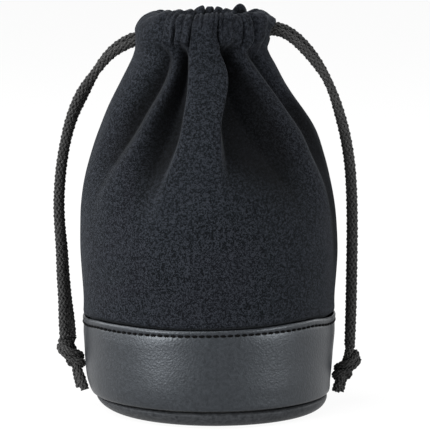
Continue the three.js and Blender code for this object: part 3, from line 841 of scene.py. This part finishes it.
def lip_dip(angle):
    side = np.sin(angle)
    return LEFT_DIP * ease(-side, 0.86, 1) + RIGHT_DIP * ease(side, 0.8, 1) - LIP_TILT * side


def lip_sag(angle):
    return LIP_SAG * ease(np.cos(angle), 0.75, 1)


# %% Tunnel and openings
TUNNEL_FROM = -3 * MM  # folds begin to turn into creases here, counted upwards from the stitches
TUNNEL_FULL = 4 * MM  # and have done so here
HEM = 9 * MM  # the creases run out again in the last stretch of the cloth
TUNNEL_FACE = 16 * MM  # the openings are in the outer face, within this length of the stitches
CREASE_HEIGHTS = (134 * MM, 141 * MM)  # the lower depth holds up to the first, the upper from the second
CREASE_WANDER = math.radians(2.2)
CREASE_DENTS = 0.35 * MM
OPENING_HALF = 3.4 * MM  # half the height of a cord opening
OPENING_ANGLE = math.radians(10)  # how far the edge of the cloth draws back there
OPENING_REACH = math.radians(24)  # how far along the panel that is felt


def tunnel_share():
    """1 in the tunnel and 0 below it, row by row."""
    hem = above_stitch[-1]
    return plateau(above_stitch, TUNNEL_FROM, TUNNEL_FULL, hem - HEM, hem)[:, None]


def tunnel_creases(angle, creases, seed):
    """Depth of the creases in the tunnel, which wander a little and stay upright where it leans back."""
    share = ease(wall_height, *CREASE_HEIGHTS)[:, None] * np.ones(angle.shape[1])
    wander = CREASE_WANDER * dents(*angle.shape, 6, 14, seed + 2)
    upright = (wall_lean - wall_lean.min()) / wall_radius
    upright = upright[:, None] * np.clip(1.3 * np.cos(angle), 0, 1)
    depth = crease_depth(angle + wander + upright, share, creases)
    return depth + CREASE_DENTS * dents(*angle.shape, 2.5, 4, seed + 3)


def drawn_back(angle, edge, exit_height):
    """How far the cloth draws back from the cord opening in one edge of a panel."""
    rise = np.clip(1 - ((wall_height - exit_height) / OPENING_HALF) ** 2, 0, 1)
    rise[: stitch_row + 1] = 0
    rise[above_stitch > TUNNEL_FACE] = 0
    return OPENING_ANGLE * np.sqrt(rise)[:, None] * (1 - ease(np.abs(angle - edge), 0, OPENING_REACH))


# %% Painted shade
DARK_FROM = 0.3 * MM  # depth at which shade begins to be painted on a fold
FOLD_DARK = 5.5 * MM  # depth at which that painted shade is darkest
CREASE_DARK = 2.5 * MM  # the same in the tunnel
LIP_DARK = (35.8 * MM, 36.7 * MM)  # shade is painted in the crevice at the band's lip, darkest below these heights
STRIP_HEIGHTS = np.array((46, 60, 108, 118)) * MM  # where the painted shade in the strip by the right seam starts, is full, thins and ends
STRIP_EDGE = 3  # degrees in which the strip's painted shade comes in


def seam_shade(angle):
    """Share of painted shade in the strip between the last valley of the front and the right seam."""
    valley = np.interp(wall_height / MM, FOLD_LEVELS, FRONT_FOLDS[STRIP_VALLEY][1])[:, None]
    strip = ease(90 - np.abs(np.degrees(angle) - 90), valley - STRIP_EDGE, valley)
    return strip * plateau(wall_height, *STRIP_HEIGHTS)[:, None]


def shade_to_paint(angle, depth, tunnel):
    """How much shade is painted on each point, from 0 to 1: in folds, in the crevice at the lip and beside
    the right seam.
    """
    folds = ease(depth, DARK_FROM, FOLD_DARK + (CREASE_DARK - FOLD_DARK) * tunnel)
    crevice = 1 - ease(wall_height, *LIP_DARK)[:, None]
    return np.maximum(np.maximum(folds, crevice), seam_shade(angle))


# %% Panel of cloth
EVEN_SHARE = 0.35  # how evenly the tunnel's cloth is spread round the neck
SPREAD_BLUR = 3.0  # columns that the spread is softened over
STITCH_PINCH = 0.25 * MM  # the stitches pull the cloth in by this much
STITCH_REACH = 1.1 * MM  # above and below them
SEAM_PINCH = 0.9 * MM  # and the side seams by this much
SEAM_REACH = 0.9 * MM
SMALL_DENTS = 0.22 * MM
LARGE_DENTS = 0.3 * MM
CALM_EDGE = math.radians(12)  # the dents fade out towards the side seams
EXIT_FLARE = 2.2 * MM  # the cloth above the right opening is pushed out by the cord
FLARE_HEIGHT = 138.2 * MM
FLARE_REACH = 1.9 * MM
FLARE_WIDTH = 13  # degrees
RIM_REACH = 5 * MM  # how far from the rim its lumps are felt
LIP_HEIGHTS = np.array((30, 34, 38, 48)) * MM  # where the cloth starts to follow the lip, does so and stops


def sleeve_panel(folds, creases, seed, first_exit, last_exit):
    """Points of one panel and how much shade is painted on them. The exits are the heights of the openings in
    its edges.
    """
    fold_angle, depth = fold_surface(folds)
    rows, columns = depth.shape
    start, end = fold_angle[0, 0], fold_angle[0, -1]
    tunnel = tunnel_share()
    tunnel_angle = soften(np.maximum.accumulate(fold_angle[-1]), SPREAD_BLUR, 0)
    tunnel_angle += (np.linspace(start, end, columns) - tunnel_angle) * EVEN_SHARE
    angle = fold_angle * (1 - tunnel) + tunnel_angle * tunnel
    depth = depth * (1 - tunnel) + tunnel_creases(angle, creases, seed) * tunnel
    depth += STITCH_PINCH * bell(above_stitch, STITCH_REACH)[:, None]
    # shade painted into the suede's colour, in its folds, the crevice at the lip and the strip by the right
    # seam
    painted_shade = shade_to_paint(angle, depth, tunnel)
    inset = np.minimum(angle - start, end - angle)
    calm = ease(inset, 0, CALM_EDGE)
    depth += SMALL_DENTS * calm * dents(rows, columns, 5, 9, seed)
    depth += LARGE_DENTS * calm * dents(rows, columns, 14, 22, seed + 1)
    depth += SEAM_PINCH * bell(inset * wall_radius[:, None], SEAM_REACH)
    angle = angle + drawn_back(angle, start, first_exit)
    angle = angle - drawn_back(angle, end, last_exit)
    degrees = np.degrees(angle)
    tangent = unit(np.gradient(sleeve_line[:, :2], axis=0))
    out_radius = 1 + (tangent[:, 1:] - 1) * tunnel
    out_height = -tangent[:, :1] * tunnel
    radius = wall_radius[:, None] - out_radius * depth
    flare = bell(wall_height - FLARE_HEIGHT, FLARE_REACH) * (np.arange(rows) < rim_row)
    radius += EXIT_FLARE * flare[:, None] * bell(degrees - 90, FLARE_WIDTH)
    height = wall_height[:, None] - out_height * depth
    rim = bell(above_stitch - above_stitch[rim_row], RIM_REACH)[:, None]
    for where, spread, rise in RIM_LUMPS:
        height = height + rise * MM * rim * bell(degrees - where, spread)
    height = height - (lip_dip(angle) + lip_sag(angle)) * plateau(wall_height, *LIP_HEIGHTS)[:, None]
    return turned(radius, angle, height, wall_lean[:, None]), painted_shade


# %% Suede panels
def dress(piece, node):
    """The piece rides on the pouch and stands for a node of the frame, which is hidden."""
    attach(piece, "pouch")
    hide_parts(node)
    print(piece.name, len(piece.data.polygons), "faces")


def add_sheet(name, node, mesh, material, slot, thickness, **facts):
    """A piece of cloth, which gets its thickness on the inner side."""
    piece = add_object(name, mesh, material)
    thick = piece.modifiers.new("cloth thickness", "SOLIDIFY")
    thick.thickness = thickness
    thick.offset = -1
    dress(piece, node)


BELLY_HALF = math.pi * 45.7 * MM  # half way round the belly
PANEL_FLAT = (BELLY_HALF, float(wall_along[-1]))  # and from foot to hem
for face, folds, creases, seed, exits in (
    ("front", FRONT_FOLDS, FRONT_CREASES, 11, (LEFT_EXIT.z, RIGHT_EXIT.z)),
    ("back", BACK_FOLDS, BACK_CREASES, 23, (RIGHT_EXIT.z, LEFT_EXIT.z)),
):
    points, painted_shade = sleeve_panel(folds, creases, seed, *exits)
    mesh = mesh_from(f"suede_{face}", points, grid_faces(*points.shape[:2]))
    # the painted shade goes with the mesh as a point attribute for the suede's finish
    shade = mesh.attributes.new("painted_shade", "FLOAT", "POINT")
    shade.data.foreach_set("value", painted_shade.astype(np.float32).ravel())
    add_sheet(
        f"suede_{face}", f"suede_{face}_panel", mesh, SUEDE, "suede", SUEDE_THICKNESS,
        flat=PANEL_FLAT, held="gathered",
    )

# %% [markdown]
# ## Leather band and base
#
# The band is a strip of synthetic leather round the foot, with its top edge turned over and sewn down. Below
# the stitches the leather swells a little. The base is a shallow dish of the same leather, sewn to the band
# in a seam that shows as a dark line. Both follow one outline all the way round, so each is a turned mesh.
# Small seeded dents keep the band from looking machined, and its ends meet in a groove at the back.

# %% Band
def ring_angles(columns):
    return np.linspace(0, 2 * math.pi, columns, endpoint=False)


def turned_mesh(name, outline, columns, push=0, drop=0, lean=0):
    """A ring whose outline, points of (radius, height), is turned about the upright axis."""
    points = turned(outline[:, :1] + push, ring_angles(columns), outline[:, 1:] - drop, lean)
    faces = grid_faces(len(outline), columns, closed_rows=True, closed_columns=True)
    return mesh_from(name, points, faces)


def smooth_outline(points, spacing):
    """A smooth closed outline through points of (radius, height) in millimetres."""
    flat = np.array([(radius, height, 0) for radius, height in points + points[:1]]) * MM
    return smooth_line(flat, spacing)[:-1, :2]


BAND_OUTLINE = [
    (41.8, 6.4), (42.5, 6.5), (42.9, 7.2), (43.3, 9), (43.8, 12.5), (44.2, 17), (44.5, 21.5), (44.8, 26),
    (45, 30), (45.02, 31.6), (44.97, 32.5), (44.86, 32.95), (44.8, 33.2), (45.05, 33.65), (45.25, 34.2),
    (45.32, 34.8), (45.2, 35.3), (44.8, 35.65), (44.35, 35.5), (44.15, 35), (43.8, 33), (43.4, 30), (43, 24),
    (42.7, 18), (42.2, 12.5), (41.6, 9.5), (41.1, 7.2), (41.1, 6.6),
]
OUTLINE_STEP = 0.5 * MM  # between the points of the outlines of band and base
BAND_MIDDLE = ((6 * MM, 36 * MM), (41.8 * MM, 44.6 * MM))  # heights and radii of a line inside the leather
BAND_COLUMNS = 288
BAND_DENTS = 0.1 * MM
DENT_HEIGHTS = np.array((8, 14, 28, 32)) * MM  # where they start, are full, thin out and end
DIP_HEIGHTS = (22 * MM, 33 * MM)  # the dip of the lip grows between these heights
SAG_HEIGHTS = (33.4 * MM, 34.8 * MM)  # and its sag between these
JOIN_DEPTH = 0.45 * MM  # of the groove where the ends of the band meet
JOIN_WIDTH = 0.8  # columns
FOOT_LEAN = 2.2 * MM  # the pouch leans to one side over its foot
LEAN_TOP = 11 * MM  # the lean has gone at this height


def foot_lean(height):
    return FOOT_LEAN * np.clip(1 - height / LEAN_TOP, 0, 1) ** 1.5


band_outline = smooth_outline(BAND_OUTLINE, OUTLINE_STEP)
band_height = band_outline[:, 1:]
band_push = dents(len(band_outline), BAND_COLUMNS, 9, 10, 5) * BAND_DENTS
band_push *= plateau(band_height, *DENT_HEIGHTS)
from_join = np.abs(np.arange(BAND_COLUMNS) - BAND_COLUMNS // 2)
outside = band_outline[:, :1] > np.interp(band_height, *BAND_MIDDLE)
band_push -= JOIN_DEPTH * bell(from_join, JOIN_WIDTH) * outside
band_drop = ease(band_height, *DIP_HEIGHTS) * lip_dip(ring_angles(BAND_COLUMNS))
band_drop += ease(band_height, *SAG_HEIGHTS) * lip_sag(ring_angles(BAND_COLUMNS))
band_mesh = turned_mesh("band", band_outline, BAND_COLUMNS, band_push, band_drop, foot_lean(band_height))
band = add_object("band", band_mesh, BAND_LEATHER)
dress(band, "leather_band")

# %% Base
BASE_OUTLINE = [
    (0.2, 0), (20, 0), (34.4, 0), (37.2, 0.5), (39.4, 1.7), (40.8, 3.2), (41.3, 4.2), (41.35, 4.7),
    (41.1, 5.2), (40.5, 5.5), (39.4, 5.5), (38.6, 5.4), (38.4, 5.3), (38.7, 5), (39.2, 4.6), (38.8, 3.8),
    (37.8, 2.7), (36.2, 1.8), (34.2, 1.4), (20, 1.4), (0.2, 1.4),
]
BASE_COLUMNS = 192
BOARD_HEIGHTS = (2.6 * MM, 5 * MM)  # the lean grows between these on the inside: the board stands straight
base_outline = np.maximum(smooth_outline(BASE_OUTLINE, OUTLINE_STEP), 0)
inside = np.arange(len(base_outline)) > np.argmax(base_outline[:, 1])
base_lean = foot_lean(base_outline[:, 1:])
base_lean[inside] *= ease(base_outline[inside, 1:], *BOARD_HEIGHTS)
base_mesh = turned_mesh("base", base_outline, BASE_COLUMNS, lean=base_lean)
base = add_object("base", base_mesh, BASE_LEATHER)
dress(base, "base_panel")

# %% [markdown]
# ## Inside the pouch
#
# A thin woven lining hangs inside the suede and is sewn to it under the tunnel, so it is drawn into softer
# folds of its own. A second round of lining lies on the floor over a foam pad and a stiff board, and a strip
# of foam stands behind the band. Little of this shows, but the pouch is modelled as it is sewn.

# %% Lining
LINING_OUTLINE = [  # radius and height in millimetres
    (38.7, 8.7), (39, 12), (39.1, 22), (39.2, 30), (40.2, 36), (42.4, 44), (43.4, 56), (42.6, 66), (40.4, 76),
    (36.6, 86), (31.4, 95), (25.2, 104), (20, 112), (16.4, 119), (14.8, 125), (14.6, 127),
]
LINING_COLUMNS = 160
LINING_STEP = 2 * MM  # between rows
LINING_INSET = 0.4 * MM  # the cloth lies this far inside the outline
LINING_THICKNESS = 0.4 * MM
LINING_FOLDS = 13
LINING_FOLD = 0.9 * MM  # half the depth of a fold at the neck
LINING_GATHER = (70 * MM, 115 * MM)  # the folds grow between these heights
LINING_GIRTH = 2 * math.pi * 43.8 * MM
WEAVE_WIDTH = 276 * MM  # of the cloth that the weave is laid out on, once round


def lining_points():
    """A sleeve in soft even folds that grow towards the neck."""
    line = smooth_line([(radius * MM, height * MM, 0) for radius, height in LINING_OUTLINE], LINING_STEP)
    radius, height = line[:, :1], line[:, 1:2]
    angle = np.linspace(-math.pi, math.pi, LINING_COLUMNS, endpoint=False)
    lean = np.interp(height, wall_height[:stitch_row], wall_lean[:stitch_row])
    depth = LINING_FOLD * ease(height, *LINING_GATHER)
    folds = depth * np.cos(LINING_FOLDS * angle + 0.4 * np.sin(3 * angle))
    radius = radius - LINING_INSET + folds - depth
    return turned(radius, angle, height, lean)


def lining_uv(points):
    """Metres round the belly and metres up the wall."""
    rows, columns = points.shape[:2]
    around, up = np.meshgrid(np.linspace(0, WEAVE_WIDTH, columns), np.arange(rows) * LINING_STEP)
    return np.stack([around, up], axis=-1)


points = lining_points()
faces = grid_faces(*points.shape[:2], closed_columns=True)
lining_mesh = mesh_from("lining", points, faces, lining_uv(points))
lining_length = len(points) * LINING_STEP
add_sheet(
    "lining", "lining_sleeve", lining_mesh, LINING, "lining", LINING_THICKNESS,
    flat=(LINING_GIRTH, lining_length), held="gathered",
)

# %% Lining of the floor
FLOOR_RINGS = 20
FLOOR_COLUMNS = 96
FLOOR_THICKNESS = 0.35 * MM
FLOOR_RIPPLE = 0.12 * MM  # the cloth lies on the pad in slight waves
floor_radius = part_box("lining_base")[1].x
rings = np.linspace(0.02, 1, FLOOR_RINGS)[:, None] * floor_radius
around = ring_angles(FLOOR_COLUMNS)
ripple = FLOOR_RIPPLE * np.sin(3 * around) * (rings / floor_radius) ** 2
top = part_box("lining_base")[1].z - FLOOR_RIPPLE
disc_points = np.stack([rings * np.cos(around), rings * np.sin(around), top + ripple], axis=-1)
disc_faces = [list(face) for face in grid_faces(FLOOR_RINGS, FLOOR_COLUMNS, closed_columns=True)[:, ::-1]]
disc_faces.append(list(range(FLOOR_COLUMNS)))
floor_mesh = mesh_from("floor_lining", disc_points, disc_faces, disc_points[..., :2])
add_sheet(
    "floor_lining", "lining_base", floor_mesh, LINING, "lining", FLOOR_THICKNESS,
    flat=(2 * floor_radius, 2 * floor_radius), area=math.pi * floor_radius**2,
    held="laid", rests_on=["base_pad"],
)

# %% Foam and board
PAD_OUTLINE = [
    (0.2, 7.4), (0.2, 3.85), (18, 3.85), (34, 3.85), (36.5, 4.2), (37.6, 5.4), (36.8, 6.8), (34, 7.35),
    (18, 7.5),
]
STRIP_OUTLINE = [
    (39.1, 9), (39.6, 8.7), (40, 10), (40.5, 16), (40.9, 24), (41.1, 30), (41, 32.8), (40.4, 33.3),
    (39.8, 32.4), (39.6, 24), (39.4, 16),
]

for name, node, outline, columns in (
    ("pad", "base_pad", PAD_OUTLINE, 96),
    ("foam_strip", "band_foam", STRIP_OUTLINE, 144),
):
    foam = add_object(name, turned_mesh(name, smooth_outline(outline, 0.8 * MM), columns), FOAM)
    dress(foam, node)
board = frame["nodes"]["base_board"]
board.data.materials.clear()
board.data.materials.append(BOARD)

# %% [markdown]
# ## Cord in the tunnel
#
# Each cord goes once round the neck inside the tunnel, and both of its ends come out at the same side.

# %% Loops in the tunnel
LOOP_RADIUS = 18.2 * MM
LOOP_GAP = 0.3 * MM  # between the end of a loop and its strand
LOOP_STEP = 0.4 * MM  # between the points of a loop's line
LOOP_BEND = 0.8 * MM  # a loop turns towards its opening this far outside its round
LOOP_SPREAD = 0.9 * MM  # and its two ends are this much further apart there on each side
LOOP_TURNS = np.linspace(math.radians(24), math.radians(336), 24)  # round the neck from the opening


def loop_line(exit_point, side):
    """From one opening round the neck and back: side is -1 for the left cord."""
    middle = np.interp(exit_point.z, wall_height[:rim_row], wall_lean[:rim_row])
    start = exit_point.x - side * (STRAND_TUCK + LOOP_GAP)
    bend = middle + side * (LOOP_RADIUS + LOOP_BEND)
    half = STRAND_PITCH / 2
    points = [(start, -half, exit_point.z), (bend, -half - LOOP_SPREAD, exit_point.z)]
    for turn in LOOP_TURNS:
        x = middle + side * LOOP_RADIUS * math.cos(turn)
        points.append((x, -LOOP_RADIUS * math.sin(turn), exit_point.z))
    points += [(bend, half + LOOP_SPREAD, exit_point.z), (start, half, exit_point.z)]
    return smooth_line(points, LOOP_STEP)


for side, exit_point, sign in (("left", LEFT_EXIT, -1), ("right", RIGHT_EXIT, 1)):
    line = loop_line(exit_point, sign)
    loop = add_cord(f"{side}_loop", [line], [CORD])
    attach(loop, "pouch")
    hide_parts(f"{side}_cord_loop")
    print(loop.name, round(line_length(line) / MM), "mm,", len(loop.data.polygons), "faces")

# %% [markdown]
# ## Stitches
#
# A row of stitches is one small shape repeated along a line, which is what Geometry Nodes are for. The line
# is a curve object. The tree spaces points along it, puts a stitch on each and turns it to follow the line.

# %% Stitch tree
def stitch_tree():
    tree = bpy.data.node_groups.new("stitches", "GeometryNodeTree")
    tree.interface.new_socket("Seam", in_out="INPUT", socket_type="NodeSocketGeometry")
    for name in ("Spacing", "Length", "Thickness"):
        tree.interface.new_socket(name, in_out="INPUT", socket_type="NodeSocketFloat")
    tree.interface.new_socket("Thread", in_out="INPUT", socket_type="NodeSocketMaterial")
    tree.interface.new_socket("Stitches", in_out="OUTPUT", socket_type="NodeSocketGeometry")
    nodes = tree.nodes
    given = nodes.new("NodeGroupInput")
    spaced = nodes.new("GeometryNodeResampleCurve")
    spaced.mode = "LENGTH"
    points = nodes.new("GeometryNodeCurveToPoints")
    points.mode = "EVALUATED"
    stitch = nodes.new("GeometryNodeMeshUVSphere")
    set_values(stitch, {"Segments": 6, "Rings": 6, "Radius": 0.5})
    size = nodes.new("ShaderNodeCombineXYZ")
    placed = nodes.new("GeometryNodeInstanceOnPoints")
    real = nodes.new("GeometryNodeRealizeInstances")
    dyed = nodes.new("GeometryNodeSetMaterial")
    result = nodes.new("NodeGroupOutput")
    for source, output, target, entry in (
        (given, "Seam", spaced, "Curve"),
        (given, "Spacing", spaced, "Length"),
        (spaced, "Curve", points, "Curve"),
        (points, "Points", placed, "Points"),
        (points, "Rotation", placed, "Rotation"),
        (stitch, "Mesh", placed, "Instance"),
        (given, "Thickness", size, "X"),
        (given, "Thickness", size, "Y"),
        (given, "Length", size, "Z"),
        (size, "Vector", placed, "Scale"),
        (placed, "Instances", real, "Geometry"),
        (real, "Geometry", dyed, "Geometry"),
        (given, "Thread", dyed, "Material"),
        (dyed, "Geometry", result, "Stitches"),
    ):
        tree.links.new(source.outputs[output], target.inputs[entry])
    return tree


STITCHES = stitch_tree()


def sew(name, line, spacing, length, thickness):
    """Stitches along a closed line of points, as a plain mesh that rides on the pouch."""
    curve = bpy.data.curves.new(name + "_seam", "CURVE")
    curve.dimensions = "3D"
    spline = curve.splines.new("POLY")
    spline.points.add(len(line) - 1)
    spline.points.foreach_set("co", np.c_[line, np.ones(len(line))].astype(np.float32).ravel())
    spline.use_cyclic_u = True
    seam = into_scene(name + "_seam", curve)
    nodes = seam.modifiers.new("stitches", "NODES")
    nodes.node_group = STITCHES
    values = {"Spacing": spacing, "Length": length, "Thickness": thickness, "Thread": THREAD}
    for socket in STITCHES.interface.items_tree:
        if socket.name in values:
            nodes[socket.identifier] = values[socket.name]
    view = bpy.context.evaluated_depsgraph_get()
    mesh = bpy.data.meshes.new_from_object(seam.evaluated_get(view), depsgraph=view)
    bpy.data.objects.remove(seam)
    mesh.name = name
    mesh.shade_smooth()
    piece = into_scene(name, mesh)
    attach(piece, "pouch")
    print(name, len(mesh.polygons), "faces")
    return piece


# %% Sew the band
BAND_STITCH_RADIUS = 44.95 * MM
BAND_STITCH_HEIGHT = 33.2 * MM
STITCH_SPACING = 2.5 * MM
STITCH_LENGTH = 2.1 * MM
STITCH_THICKNESS = 1.0 * MM
SEAM_POINTS = 256

around = ring_angles(SEAM_POINTS)
seam_line = turned(BAND_STITCH_RADIUS, around, BAND_STITCH_HEIGHT - lip_dip(around))
band_stitches = sew("band_stitches", seam_line, STITCH_SPACING, STITCH_LENGTH, STITCH_THICKNESS)

# %% [markdown]
# ## Floor and light
#
# The picture is lit softly from above and from both sides on a white ground. The floor and the world look
# white to the camera and in reflections, but they light the pouch less than white would, so it stays black.

# %% Floor, world and lamps
FLOOR_HALF = 4.0  # half the floor's width, in metres
FLOOR_GLOW = 0.93  # the share of the floor's look that is plain white, the rest is lit and shaded
WORLD_LIGHT = 0.5  # strength of the world for all that isn't seen directly
LAMPS = [  # name, place, height on the pouch's axis that it points at, width, height and watts
    ("key", (-1.15, 0.12, 0.62), 0.07, 1.2, 1.1, 25),
    ("top", (-0.4, -0.3, 1.3), 0.1, 1.2, 1.0, 31),
    ("left_strip", (-0.8, -0.78, 0.1), 0.03, 0.3, 0.45, 26),
    ("right_strip", (0.94, -0.58, 0.16), 0.03, 0.25, 0.3, 10.5),
    ("rim", (1.0, 0.42, 0.4), 0.07, 0.5, 0.7, 6),
]


def seen_directly(tree):
    """1 for rays from the camera, from a reflection or through glass."""
    path = tree.nodes.new("ShaderNodeLightPath")
    value = path.outputs["Is Camera Ray"]
    for name in ("Is Glossy Ray", "Is Transmission Ray"):
        larger = tree.nodes.new("ShaderNodeMath")
        larger.operation = "MAXIMUM"
        tree.links.new(value, larger.inputs[0])
        tree.links.new(path.outputs[name], larger.inputs[1])
        value = larger.outputs["Value"]
    return value


def white_stage():
    """A floor that looks white to the camera and in reflections, yet keeps a soft shadow of the pouch."""
    material, surface = shader("floor", Roughness=0.9, Specular_IOR_Level=0.0, Base_Color=(0.8, 0.8, 0.8, 1))
    glow = add_node(material, "ShaderNodeEmission")
    seen = seen_directly(material.node_tree)
    most = add_node(material, "ShaderNodeMath", operation="MULTIPLY")
    most.inputs[1].default_value = FLOOR_GLOW
    link(material, seen, most.inputs[0])
    mixed = add_node(material, "ShaderNodeMixShader")
    link(material, most.outputs["Value"], mixed.inputs["Fac"])
    link(material, surface.outputs["BSDF"], mixed.inputs[1])
    link(material, glow.outputs["Emission"], mixed.inputs[2])
    link(material, mixed.outputs["Shader"], material.node_tree.nodes["Material Output"].inputs["Surface"])
    mesh = bpy.data.meshes.new("floor")
    corners = [(x * FLOOR_HALF, y * FLOOR_HALF, 0) for x, y in ((-1, -1), (1, -1), (1, 1), (-1, 1))]
    mesh.from_pydata(corners, [], [(0, 1, 2, 3)])
    mesh.materials.append(material)
    into_scene("floor", mesh)


def studio_world():
    world = bpy.data.worlds.new("studio")
    bpy.context.scene.world = world
    world.use_nodes = True
    tree = world.node_tree
    background = tree.nodes["Background"]
    background.inputs["Color"].default_value = (1, 1, 1, 1)
    strength = tree.nodes.new("ShaderNodeMapRange")
    strength.inputs["To Min"].default_value = WORLD_LIGHT
    strength.inputs["To Max"].default_value = 1.0
    tree.links.new(seen_directly(tree), strength.inputs["Value"])
    tree.links.new(strength.outputs["Result"], background.inputs["Strength"])


white_stage()
studio_world()
for name, lamp_place, aim_height, width, height, watts in LAMPS:
    data = bpy.data.lights.new(name, "AREA")
    data.shape = "RECTANGLE"
    data.size = width
    data.size_y = height
    data.energy = watts
    point_at(into_scene(name, data), lamp_place, (0, 0, aim_height))
print(len(LAMPS), "lamps")
bpy.context.scene.view_settings.view_transform = "Standard"
